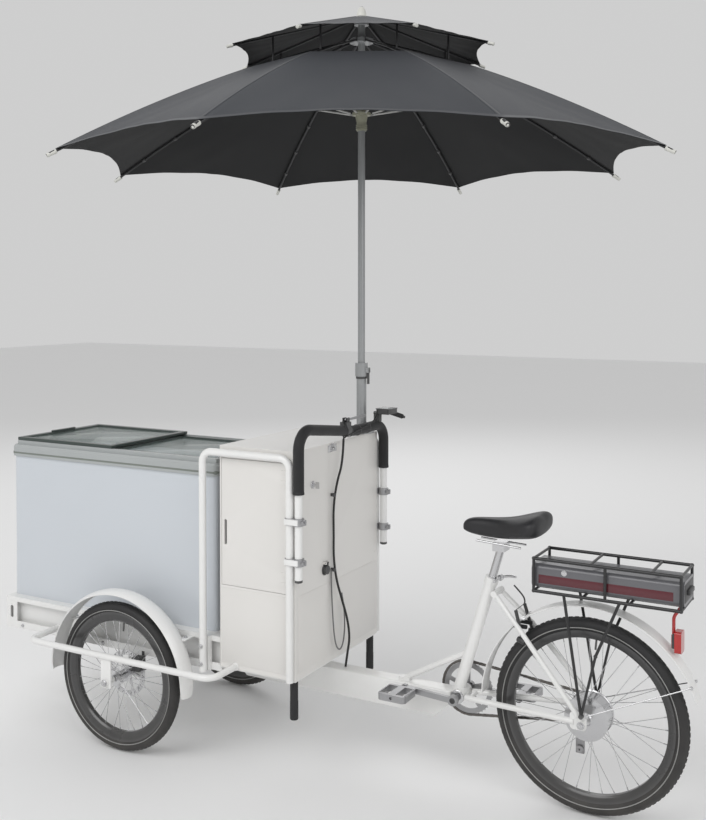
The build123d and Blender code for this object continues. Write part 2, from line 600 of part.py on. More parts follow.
def freezer():
    """Insulated tub, its top trim with lid rails, and the two sliding lids."""
    tub = block(FREEZER_X, (-FREEZER_HALF_W, FREEZER_HALF_W), (TRAY_TOP, TRIM_BOTTOM))
    tub = rounded(tub, 12, Axis.Z)
    cavity_x = (FREEZER_X[0] + FREEZER_WALL, FREEZER_X[1] - FREEZER_WALL)
    cavity_y = FREEZER_HALF_W - FREEZER_WALL + 8
    cavity = block(cavity_x, (-cavity_y, cavity_y), (TRAY_TOP + FREEZER_FLOOR, TRIM_BOTTOM + 1))
    PARTS["freezer_tub"] = tub - rounded(cavity, 25, Axis.Z)

    out_x = (FREEZER_X[0] - TRIM_OVERHANG, FREEZER_X[1] + TRIM_OVERHANG)
    out_y = FREEZER_HALF_W + TRIM_OVERHANG
    trim = rounded(block(out_x, (-out_y, out_y), (TRIM_BOTTOM, TRIM_TOP)), 14, Axis.Z)
    trim = chamfer(trim.faces().sort_by(Axis.Z)[-1].edges(), 8, 5)
    rail_x = (out_x[0] + RAIL_INSET, out_x[1] - RAIL_INSET)
    rail_z = (TRIM_TOP - 1, RAIL_TOP)
    inner_y, outer_y = RAIL_Y
    for side in (-1, 1):
        trim += block(rail_x, sorted((side * inner_y, side * outer_y)), rail_z)
    for low, high in ((rail_x[0], rail_x[0] + RAIL_END_T), (rail_x[1] - RAIL_END_T, rail_x[1])):
        trim += block((low, high), (-outer_y, outer_y), rail_z)
    opening = block(cavity_x, (-cavity_y, cavity_y), (TRIM_BOTTOM - 1, RAIL_TOP + 1))
    PARTS["freezer_trim"] = trim - opening

    low_y = inner_y - FREE_GAP - 1
    rear_z = (TRIM_TOP + FREE_GAP, TRIM_TOP + FREE_GAP + LID_T)
    rear_x = (LID_SPLIT_X - LID_LAP, rail_x[1] - RAIL_END_T - 2)
    PARTS["lid_rear"] = block(rear_x, (-low_y, low_y), rear_z)
    front_z = (RAIL_TOP + FREE_GAP, RAIL_TOP + FREE_GAP + LID_T)
    front_x = (rail_x[0], LID_SPLIT_X)
    plate = block(front_x, (-outer_y, outer_y), front_z)
    handle = block((front_x[0] + 12, front_x[0] + 26), (-60, 60), (front_z[1] - 1, front_z[1] + 8))
    PARTS["lid_front"] = plate + handle


def side_hinge(pivot, leaf_x, first):
    """Every other knuckle of both side hinges, with their leaf on the sheet."""
    pieces = []
    for middle_z in HINGE_Z:
        for step in range(first, 3, 2):
            low = middle_z + HINGE_LEAF * (step - 1.5)
            high = low + HINGE_LEAF - FREE_GAP
            pieces.append(rod((*pivot, low), (*pivot, high), HINGE_R))
            leaf_y = (pivot[1] - 0.6, -CABINET_HALF_W + 0.5)
            pieces.append(block(sorted((pivot[0], leaf_x)), leaf_y, (low, high)))
    return pieces


def cabinet():
    """Sheet cabinet with its side door, the lock and the charging socket's cap."""
    shell = block(CABINET_X, (-CABINET_HALF_W, CABINET_HALF_W), (CABINET_BOTTOM, CABINET_TOP))
    shell = rounded(shell, 8, Axis.Z)
    wall = CABINET_WALL
    inside = block(
        (CABINET_X[0] + wall, CABINET_X[1] - wall),
        (-CABINET_HALF_W + wall, CABINET_HALF_W - wall),
        (CABINET_BOTTOM + wall, CABINET_TOP - wall),
    )
    shell -= inside
    doorway = block(
        (DOOR_X[0] - DOOR_GAP, DOOR_X[1] + DOOR_GAP), (-CABINET_HALF_W - 1, -CABINET_HALF_W + 20),
        (DOOR_Z[0] - DOOR_GAP, DOOR_Z[1] + DOOR_GAP),
    )
    face = CABINET_X[1]
    lock_hole = rod(
        (face - 10, LOCK_Y, LOCK_Z), (face + 5, LOCK_Y, LOCK_Z), LOCK_R + RUNNING_GAP
    )
    shell -= doorway + lock_hole
    socket = rod((face - 1, SOCKET_Y, SOCKET_Z), (face + 8, SOCKET_Y, SOCKET_Z), SOCKET_R)
    pin_x = face + 10.6
    ears = [
        block((face - 1, pin_x + 3), (SOCKET_Y + low, SOCKET_Y + low + 3), (CAP_PIN_Z - 4, CAP_PIN_Z + 4))
        for low in (-11, 8)
    ]
    pin_hole = rod_y(pin_x, CAP_PIN_Z, SOCKET_Y - 20, SOCKET_Y + 20, CAP_PIN_R + RUNNING_GAP)
    pivot = (DOOR_X[1] + DOOR_GAP, -CABINET_HALF_W - DOOR_GAP)
    knuckles = side_hinge(pivot, pivot[0] + 7, 1)
    PARTS["cabinet"] = joined([shell, socket] + ears + knuckles) - pin_hole

    door = block(DOOR_X, (-CABINET_HALF_W, -CABINET_HALF_W + DOOR_T), DOOR_Z)
    pull = block(
        (DOOR_X[0] + 10, DOOR_X[0] + 20), (-CABINET_HALF_W - 1, -CABINET_HALF_W + 9), (748, 832)
    )
    door -= rounded(pull, 4.5, Axis.Y)
    PARTS["cabinet_door"] = joined([door] + side_hinge(pivot, pivot[0] - 20, 0))

    barrel = rod((face - 9, LOCK_Y, LOCK_Z), (face + 4, LOCK_Y, LOCK_Z), LOCK_R)
    key = block((face + 3, face + 26), (LOCK_Y - 1, LOCK_Y + 1), (LOCK_Z - 5, LOCK_Z + 5))
    bow = block((face + 12, face + 26), (LOCK_Y - 1, LOCK_Y + 1), (LOCK_Z - 11, LOCK_Z + 11))
    PARTS["cabinet_lock"] = joined([barrel, key, bow])

    disc = rod((face + 8.4, SOCKET_Y, SOCKET_Z), (face + 13, SOCKET_Y, SOCKET_Z), SOCKET_R + 0.5)
    tab = block((face + 8.6, face + 12.6), (SOCKET_Y - 5, SOCKET_Y + 5), (SOCKET_Z, CAP_PIN_Z))
    pin = rod_y(pin_x, CAP_PIN_Z, SOCKET_Y - 10.5, SOCKET_Y + 10.5, CAP_PIN_R)
    PARTS["socket_cap"] = joined([disc, tab, pin])


def handlebar_points(low_z):
    """Centre line of the handlebar from one lower end to the other."""
    return (
        (BAR_X, -BAR_HALF_W, low_z), (BAR_X, -BAR_HALF_W, BAR_NEAR_Z), (BAR_X, 60, BAR_FAR_Z),
        (BAR_X, BAR_HALF_W, BAR_FAR_Z), (BAR_X, BAR_HALF_W, low_z),
    )


def handlebar():
    """Push bar with its clamps to the hoops, and the foam over it."""
    bends = [60, 300, 60]
    tube = bent_tube(handlebar_points(BAR_LOW_Z), BAR_TUBE_R, bends, BAR_TUBE_R - 2)
    hoop_x = CABINET_X[1] - HOOP_R - 1
    hoop_y = CABINET_HALF_W + HOOP_R + FREE_GAP
    skin = CABINET_HALF_W + FREE_GAP
    keep_out = block(CABINET_X, (-skin, skin), (700, 900))
    clamps = []
    for side in (-1, 1):
        y = side * BAR_HALF_W
        bore = rod((BAR_X, y, BAR_LOW_Z), (BAR_X, y, GRIP_LOW_Z - 20), BAR_TUBE_R)
        for z in CLAMP_Z:
            ring = rod((BAR_X, y, z - 11), (BAR_X, y, z + 11), BAR_TUBE_R + 4)
            link = sorted((side * (BAR_HALF_W + BAR_TUBE_R - 2), side * (hoop_y + HOOP_R + 5)))
            strap = block((hoop_x - 10, BAR_X + 8), link, (z - 9, z + 9))
            hoop = rod((hoop_x, side * hoop_y, z - 20), (hoop_x, side * hoop_y, z + 20), HOOP_R + 0.05)
            clamps.append((ring + strap) - bore - hoop - keep_out)
    PARTS["handlebar"] = joined([tube] + clamps)
    PARTS["handlebar_grip"] = bent_tube(handlebar_points(GRIP_LOW_Z), GRIP_R, bends, BAR_TUBE_R)


def controls():
    """Display on its stalk with the throttle, and the brake lever in its perch."""
    top = BAR_FAR_Z + GRIP_R
    display = rounded(block((-845, -785), (205, 270), (1150, 1168)), 12, Axis.Z)
    under = block((-852, -792), (205, 275), (1149, 1155))
    stalk = block((-862, -840), (226, 246), (top - 3, 1156))
    throttle = rod((-815, 268, 1150), (-790, 330, 1128), 5)
    perch = block((BAR_X - 14, BAR_X + 14), (-4, 26), (top - 2, LEVER_Z - 7))
    lugs = block((BAR_X - 9, BAR_X + 9), (4, 24), (LEVER_Z - 8, LEVER_Z + 7))
    slot = block((BAR_X - 4.5, BAR_X + 4.5), (0, 30), (LEVER_Z - 7, LEVER_Z + 11))
    pin = rod((BAR_X - 9, LEVER_Y, LEVER_Z), (BAR_X + 9, LEVER_Y, LEVER_Z), LEVER_PIN_R)
    grip = PARTS["handlebar_grip"] + PARTS["handlebar"]
    base = joined([perch, lugs - slot, pin])
    PARTS["controls"] = joined([display, under, stalk, throttle, base]) - grip

    blade = block((BAR_X - 4, BAR_X + 4), (LEVER_Y, 150), (LEVER_Z - 4, LEVER_Z + 4))
    blade += rod((BAR_X - 4, LEVER_Y, LEVER_Z), (BAR_X + 4, LEVER_Y, LEVER_Z), 6)
    bore = rod((BAR_X - 20, LEVER_Y, LEVER_Z), (BAR_X + 20, LEVER_Y, LEVER_Z), LEVER_PIN_R + RUNNING_GAP)
    PARTS["brake_lever"] = blade - bore


def side_guards():
    """Guard tube round the outside of each front wheel, with the outer axle plate."""
    def guard(side):
        points = (
            (GUARD_FRONT_X, side * TRAY_HALF_W, GUARD_Z), (GUARD_FRONT_X, side * GUARD_Y, GUARD_Z),
            (GUARD_REAR_X, side * GUARD_Y, GUARD_Z), (GUARD_REAR_X, side * CABINET_HALF_W, GUARD_Z),
        )
        tube = bent_tube(points, GUARD_R, 42, GUARD_R - 2)
        plate_y = sorted((side * (GUARD_Y - 3), side * (GUARD_Y + 3)))
        plate = block(
            (FRONT_AXLE_X - 22, FRONT_AXLE_X + 22), plate_y, (FRONT_WHEEL_R - 18, GUARD_Z - GUARD_R + 4)
        )
        ends = sorted((side * (TRAY_HALF_W - 2), side * (GUARD_Y + 12)))
        axle = rod_y(FRONT_AXLE_X, FRONT_WHEEL_R, ends[0], ends[1], AXLE_R)
        nut_y = sorted((side * (GUARD_Y + 2), side * (GUARD_Y + 10)))
        nut = rod_y(FRONT_AXLE_X, FRONT_WHEEL_R, nut_y[0], nut_y[1], 11)
        sleeve_y = sorted((side * (FRONT_TRACK_HALF + FRONT_HUB_HALF + 2), side * (GUARD_Y - 2)))
        sleeve = rod_y(FRONT_AXLE_X, FRONT_WHEEL_R, sleeve_y[0], sleeve_y[1], 10)
        return joined([tube, plate, axle, nut, sleeve])

    PARTS["side_guards"] = Compound(children=both_sides(guard))


def front_fenders():
    """Mudguard over each front wheel on two brackets from the tray."""
    def fender(side):
        y = side * FRONT_TRACK_HALF
        strip = ring_sector(
            (FRONT_AXLE_X, FRONT_WHEEL_R), FRONT_FENDER_R, FENDER_T, FRONT_FENDER_W, y, -4, 184
        )
        pieces = [strip]
        height = TRAY_TOP - 14 - FRONT_WHEEL_R
        reach = sqrt((FRONT_FENDER_R + 1) ** 2 - height**2)
        for way in (-1, 1):
            inner = sorted((side * TRAY_HALF_W, side * (FRONT_TRACK_HALF - FRONT_FENDER_W / 2 + 6)))
            x = FRONT_AXLE_X + way * reach
            pieces.append(block((x - 12, x + 12), inner, (TRAY_TOP - 16, TRAY_TOP - 12)))
        return joined(pieces)

    PARTS["front_fenders"] = Compound(children=both_sides(fender))


# ---- cables ---------------------------------------------------------------------------
MAIN_CABLE_R = 4.0
MAIN_CABLE = (
    (-851, -14, 1087), (-848, -24, 1010), (-860, -46, 940), (-867, -56, 860), (-865, -57, 770),
    (-867, -55, 690), (-860, -48, 610), (-846, -30, 535), (-838, -8, 465), (-838, 6, 400),
    (-846, 4, 350), (-850, -2, 302),
)
GREY_CABLE_R = 2.5
GREY_CABLE = (
    (-870, -66, 650), (-867, -69, 590), (-863, -71, 530), (-860, -70, 475), (-858, -66, 425),
    (-857, -54, 385), (-857, -30, 365), (-857, -8, 380), (-858, 5, 420), (-861, 11, 465),
    (-866, 13, 510), (-874, 13, 550),
)


def cable(points, radius):
    """Straight runs joined by arcs as large as the runs allow."""
    vectors = [Vector(*point) for point in points]
    radii = []
    for before, here, after in zip(vectors, vectors[1:], vectors[2:]):
        turn = (here - before).get_angle(after - here)
        shorter = min((here - before).length, (after - here).length)
        radii.append(0.45 * shorter / (sin(radians(turn / 2)) / cos(radians(turn / 2))))
    print("cable radii", [round(value) for value in radii])
    path = FilletPolyline(*points, radius=radii)
    print("cable length", round(path.length))
    tube = sweep(Plane(origin=path @ 0, z_dir=path % 0) * Circle(radius), path=path)
    print("volume ratio", round(tube.volume / (pi * radius**2 * path.length), 4))
    return tube


def cables():
    """Control cable down to the beam, and the thin grey lead's loop."""
    PARTS["main_cable"] = cable(MAIN_CABLE, MAIN_CABLE_R)
    PARTS["grey_cable"] = cable(GREY_CABLE, GREY_CABLE_R)


# ---- umbrella ----------------------------------------------------------------------------
def rib_z(rho):
    """Height of the rib's centre line at a distance from the pole."""
    share = (rho - PIVOT_RHO) / (RIB_TIP_RHO - PIVOT_RHO)
    chord = HUB_Z + (RIB_TIP_Z - HUB_Z) * share
    return chord + 4 * RIB_RISE * share * (1 - share)


def vent_z(rho):
    """Height of the short upper rib's centre line."""
    share = (rho - VENT_ROOT_RHO) / (VENT_TIP_RHO - VENT_ROOT_RHO)
    return VENT_ROOT_Z + (VENT_TIP_Z - VENT_ROOT_Z) * share


def at_pole(solid):
    """Moves a solid built about the Z axis onto the pole."""
    return Pos(POLE_X, POLE_Y, 0) * solid


def upright(low, high, radius, bore=0.0):
    """Cylinder about the Z axis between two heights."""
    return rod((0, 0, low), (0, 0, high), radius, bore)


def pivot_disc(z, slots=True):
    """Hub disc with a slot and a pin for every rib."""
    disc = upright(z - HUB_T / 2, z + HUB_T / 2, HUB_R)
    slot_w = PLATE_T + 2 * SLOT_GAP
    for index in range(RIB_COUNT):
        turn = Rot(0, 0, RIB_FIRST_ANGLE + index * 360 / RIB_COUNT)
        slot = turn * block((PIVOT_RHO - 8, HUB_R + 5), (-slot_w / 2, slot_w / 2), (z - HUB_T, z + HUB_T))
        disc -= slot
        disc += turn * rod((PIVOT_RHO, -slot_w, z), (PIVOT_RHO, slot_w, z), PIN_R)
    return disc


def mast():
    """Upper tube with the rib hub, the small upper hub and the cap."""
    pieces = [
        upright(MAST_BOTTOM, VENT_HUB_Z, POLE_R),
        pivot_disc(HUB_Z),
        upright(VENT_HUB_Z - 6, VENT_HUB_Z + 6, 26),
        rod((0, 0, VENT_HUB_Z), (0, 0, MAST_TOP - 24), 16),
        Pos(0, 0, MAST_TOP - 12) * Cone(14, 6, 24),
    ]
    body = joined(pieces)
    body -= upright(MAST_BOTTOM - 1, HUB_Z - 20, POLE_R - 1.8)
    PARTS["umbrella_mast"] = at_pole(body)


def pole_base():
    """Lower pole tube on the cabinet's top, with its clamp collar and lever."""
    bore = POLE_R + RUNNING_GAP
    base = joined([
        upright(CABINET_TOP, CABINET_TOP + 6, 45),
        upright(CABINET_TOP, POLE_BASE_TOP, POLE_BASE_R),
        upright(POLE_BASE_TOP - 46, POLE_BASE_TOP + 3, 23),
        block((20, 32), (-9, 9), (POLE_BASE_TOP - 32, POLE_BASE_TOP - 14)),
    ])
    base -= upright(CABINET_TOP + 6, POLE_BASE_TOP + 10, bore)
    lever_z = POLE_BASE_TOP - 23
    base -= block((18, 40), (-4.5, 4.5), (POLE_BASE_TOP - 40, POLE_BASE_TOP - 5)) - upright(0, 2000, 23)
    base += rod((28, -9, lever_z), (28, 9, lever_z), 2)
    PARTS["pole_base"] = at_pole(base)
    lever = joined([
        rod((28, -4, lever_z), (28, 4, lever_z), 4.2),
        block((25, 31), (-4, 4), (lever_z - 50, lever_z)),
    ]) - rod((28, -9, lever_z), (28, 9, lever_z), 2 + RUNNING_GAP)
    PARTS["pole_lever"] = at_pole(lever)


def runner():
    """Sliding runner that the struts close onto."""
    body = joined([
        upright(RUNNER_Z - 59, RUNNER_Z + 18, 18),
        Pos(0, 0, RUNNER_Z - 6) * Cone(19, 25, 40),
        upright(RUNNER_Z - 4, RUNNER_Z + 6, RUNNER_R),
    ])
    PARTS["umbrella_runner"] = at_pole(body - upright(0, 3000, POLE_R + RUNNING_GAP))


def eye_plate(start, end, z_start, z_end):
    """Flat plate from a pivot eye to the start of a round bar, in the XZ plane."""
    run = Vector(end - start, 0, z_end - z_start)
    plate = Pos(run.length / 2, 0, 0) * Box(run.length, PLATE_T, 7)
    tilt = degrees(atan2(z_end - z_start, end - start))
    plate = Pos(start, 0, z_start) * Rot(0, -tilt, 0) * plate
    eye = rod((start, -PLATE_T / 2, z_start), (start, PLATE_T / 2, z_start), 5)
    hole = rod((start, -PLATE_T, z_start), (start, PLATE_T, z_start), PIN_R + RUNNING_GAP)
    return (plate + eye) - hole


def rib():
    """One long rib with its lug, its post and the short upper rib."""
    start = PIVOT_RHO + 20
    end = RIB_TIP_RHO - 24
    stations = [start + (end - start) * index / RIB_SPANS for index in range(RIB_SPANS + 1)]
    line = Polyline(*[(rho, 0, rib_z(rho)) for rho in stations])
    section = Plane(origin=line @ 0, z_dir=line % 0) * Circle(RIB_R)
    bar = sweep(section, path=line, transition=Transition.RIGHT)
    cap = rod((RIB_TIP_RHO - 26, 0, rib_z(RIB_TIP_RHO - 26)), (RIB_TIP_RHO, 0, RIB_TIP_Z), 6)
    root = eye_plate(PIVOT_RHO, start + 8, HUB_Z, rib_z(start + 8))
    post = rod((POST_RHO, 0, rib_z(POST_RHO)), (POST_RHO, 0, vent_z(POST_RHO)), 3.5)
    upper = rod((VENT_ROOT_RHO, 0, VENT_ROOT_Z), (VENT_TIP_RHO, 0, VENT_TIP_Z), 3.5)
    tip = rod((VENT_TIP_RHO - 18, 0, vent_z(VENT_TIP_RHO - 18)), (VENT_TIP_RHO, 0, VENT_TIP_Z), 5)
    pieces = [bar, cap, root, post, upper, tip]
    pivot_z = rib_z(STRUT_RHO) - STRUT_DROP
    gap = PLATE_T / 2 + SLOT_GAP
    for side in (-1, 1):
        ear = sorted((side * gap, side * (gap + 2)))
        pieces.append(block((STRUT_RHO - 6, STRUT_RHO + 6), ear, (pivot_z - 5, pivot_z + STRUT_DROP)))
    pieces.append(rod((STRUT_RHO, -gap - 2, pivot_z), (STRUT_RHO, gap + 2, pivot_z), PIN_R))
    return joined(pieces)


def strut():
    """Strut from the rib's lug towards the runner, stopping short of the open pivot."""
    pivot_z = rib_z(STRUT_RHO) - STRUT_DROP
    run = Vector(PIVOT_RHO - STRUT_RHO, 0, RUNNER_Z - pivot_z)
    unit = run.normalized()
    end = Vector(STRUT_RHO, 0, pivot_z) + unit * (run.length - STRUT_SHORT)
    start = Vector(STRUT_RHO, 0, pivot_z) + unit * 12
    bar = rod((start.X, 0, start.Z), (end.X, 0, end.Z), STRUT_R)
    return joined([bar, eye_plate(STRUT_RHO, start.X - 6, pivot_z, start.Z - 6 * 0.2)])


def umbrella_arms():
    """Every rib and strut round the pole."""
    one_rib, one_strut = rib(), strut()
    for index in range(RIB_COUNT):
        turn = Rot(0, 0, RIB_FIRST_ANGLE + index * 360 / RIB_COUNT)
        PARTS["rib_" + str(index + 1)] = at_pole(turn * one_rib)
        PARTS["strut_" + str(index + 1)] = at_pole(turn * one_strut)


def canopy(height, rho_in, rho_out, lift, scallop):
    """Eight-sided cloth of flat strips between ribs, with a hem curved in between tips."""
    steps = 5
    step_angle = 2 * pi / RIB_COUNT
    first = radians(RIB_FIRST_ANGLE)
    rings = [rho_in + (rho_out - rho_in) * index / steps for index in range(steps + 1)]
    hem_points = 5

    def corner(ring, index, up):
        angle = first + index * step_angle
        return Vector(ring * cos(angle), ring * sin(angle), height(ring) + lift + up)

    def hem(index, up):
        """Hem from one tip to the next, drawn in towards the pole in the strip's plane."""
        a, b = corner(rings[-1], index, up), corner(rings[-1], index + 1, up)
        c, d = corner(rings[-2], index, up), corner(rings[-2], index + 1, up)
        inward = ((c + d) - (a + b)).normalized()
        points = []
        for share in [number / (hem_points + 1) for number in range(1, hem_points + 1)]:
            points.append(a + (b - a) * share + inward * (4 * scallop * share * (1 - share)))
        return points

    faces = []
    for index in range(RIB_COUNT):
        for up in (0.0, CANOPY_T):
            for inner, outer in zip(rings[:-2], rings[1:-1]):
                loop = [
                    corner(inner, index, up), corner(outer, index, up),
                    corner(outer, index + 1, up), corner(inner, index + 1, up),
                ]
                faces.append(Face(Wire.make_polygon(loop)))
            loop = [corner(rings[-2], index, up), corner(rings[-1], index, up)] + hem(index, up)
            loop += [corner(rings[-1], index + 1, up), corner(rings[-2], index + 1, up)]
            faces.append(Face(Wire.make_polygon(loop)))
        low = [corner(rings[-1], index, 0.0)] + hem(index, 0.0) + [corner(rings[-1], index + 1, 0.0)]
        high = [point + Vector(0, 0, CANOPY_T) for point in low]
        for a, b, c, d in zip(low, low[1:], high[1:], high):
            faces.append(Face(Wire.make_polygon([a, b, c, d])))
        inner = [
            corner(rings[0], index, 0.0), corner(rings[0], index + 1, 0.0),
            corner(rings[0], index + 1, CANOPY_T), corner(rings[0], index, CANOPY_T),
        ]
        faces.append(Face(Wire.make_polygon(inner)))
    return Solid(Shell(faces))


def canopies():
    """The main cloth and the vent cloth over it."""
    main_lift = RIB_R + 2.5
    hem_rho = RIB_TIP_RHO - 28
    PARTS["canopy_main"] = at_pole(canopy(rib_z, VENT_OPENING_RHO, hem_rho, main_lift, 55))
    PARTS["canopy_vent"] = at_pole(canopy(vent_z, VENT_ROOT_RHO + 2, VENT_TIP_RHO - 20, 3.5 + 2, 24))


def write_parts():
    """Moves every piece to the middle of the footprint and writes it."""
    rear_end = REAR_FENDER_R + FENDER_T
    rear_x = rear_end * cos(radians(18))
    shift = Vector(-(TRAY_FRONT_X + rear_x) / 2, -POLE_Y, 0)
    print("shift", [round(value, 3) for value in shift])
    os.makedirs("parts", exist_ok=True)
    for name, solid in PARTS.items():
        export_step(Pos(shift.X, shift.Y, shift.Z) * solid, "parts/" + name + ".step")
    print(len(PARTS), "parts")


def main():
    """Builds every piece and writes it."""
    for build in (
        rear_wheel, front_wheels, frame_beam, seat_tube, rear_triangle, rear_fender, rear_rack,
        tail_light, battery, seat, drive, tray, side_hoops, freezer, cabinet, handlebar,
        controls, side_guards, front_fenders, cables, mast, pole_base, runner, umbrella_arms, canopies,
    ):
        build()
        print(build.__name__, "done", flush=True)
    write_parts()


main()
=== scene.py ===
"""Looks of a front-load vending tricycle with a chest freezer, a cabinet and an umbrella."""

import json
import logging
from dataclasses import dataclass
from enum import Enum
from math import asin, atan2, cos, exp, hypot, pi, radians, sin, tan

import bpy
from mathutils import Matrix, Vector


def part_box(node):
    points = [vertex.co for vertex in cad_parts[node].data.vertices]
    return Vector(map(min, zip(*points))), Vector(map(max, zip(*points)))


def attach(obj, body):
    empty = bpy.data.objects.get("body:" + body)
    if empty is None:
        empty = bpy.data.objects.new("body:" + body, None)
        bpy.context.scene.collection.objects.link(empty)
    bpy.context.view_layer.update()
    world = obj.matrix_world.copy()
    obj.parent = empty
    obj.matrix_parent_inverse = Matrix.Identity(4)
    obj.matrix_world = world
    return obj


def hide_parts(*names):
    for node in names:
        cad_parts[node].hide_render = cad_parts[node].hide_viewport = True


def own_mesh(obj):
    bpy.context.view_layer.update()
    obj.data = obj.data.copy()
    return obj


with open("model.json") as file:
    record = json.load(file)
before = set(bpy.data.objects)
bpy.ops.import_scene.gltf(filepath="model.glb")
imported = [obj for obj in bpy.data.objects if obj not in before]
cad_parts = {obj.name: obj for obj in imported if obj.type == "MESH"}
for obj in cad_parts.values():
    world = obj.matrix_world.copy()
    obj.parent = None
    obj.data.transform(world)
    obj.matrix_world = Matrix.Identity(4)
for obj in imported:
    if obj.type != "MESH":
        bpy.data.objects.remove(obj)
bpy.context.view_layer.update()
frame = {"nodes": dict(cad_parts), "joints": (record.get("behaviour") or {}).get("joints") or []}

log = logging.getLogger("cart")

MM = 0.001
RIB_COUNT = 8
Point = tuple[float, float, float]


def middle(node: str) -> Vector:
    """Centre of a CAD node's box."""
    low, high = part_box(node)
    return (low + high) / 2


AXLE = middle("rear_wheel")


def at(x: float, y: float, z: float) -> Vector:
    """Point given in millimetres from the rear axle's ground point.

    Args:
        x: Distance behind the rear axle; negative is forward.
        y: Distance to the rider's right of the centre line.
        z: Height over the floor.

    Returns:
        The point in the frame, in metres.
    """
    return Vector((AXLE.x + x * MM, AXLE.y + y * MM, z * MM))


# ---------------------------------------------------------------- finishes


class Skin(Enum):
    """Kinds of fine relief that a surface can have."""

    PLAIN = "plain"
    PEEL = "peel"
    GRAIN = "grain"
    FOAM = "foam"
    WEAVE = "weave"
    BRUSHED = "brushed"


def new_group(name: str, inputs: dict[str, str], outputs: dict[str, str]) -> bpy.types.NodeTree:
    """Starts a shader group with named sockets.

    Args:
        name: The group's name.
        inputs: Socket name to socket type.
        outputs: Socket name to socket type.

    Returns:
        The empty group with its input and output nodes.
    """
    tree = bpy.data.node_groups.new(name, "ShaderNodeTree")
    for in_out, sockets in (("INPUT", inputs), ("OUTPUT", outputs)):
        for socket, kind in sockets.items():
            tree.interface.new_socket(name=socket, in_out=in_out, socket_type=kind)
    tree.nodes.new("NodeGroupInput").name = "in"
    tree.nodes.new("NodeGroupOutput").name = "out"
    return tree


COLOR, FLOAT = "NodeSocketColor", "NodeSocketFloat"


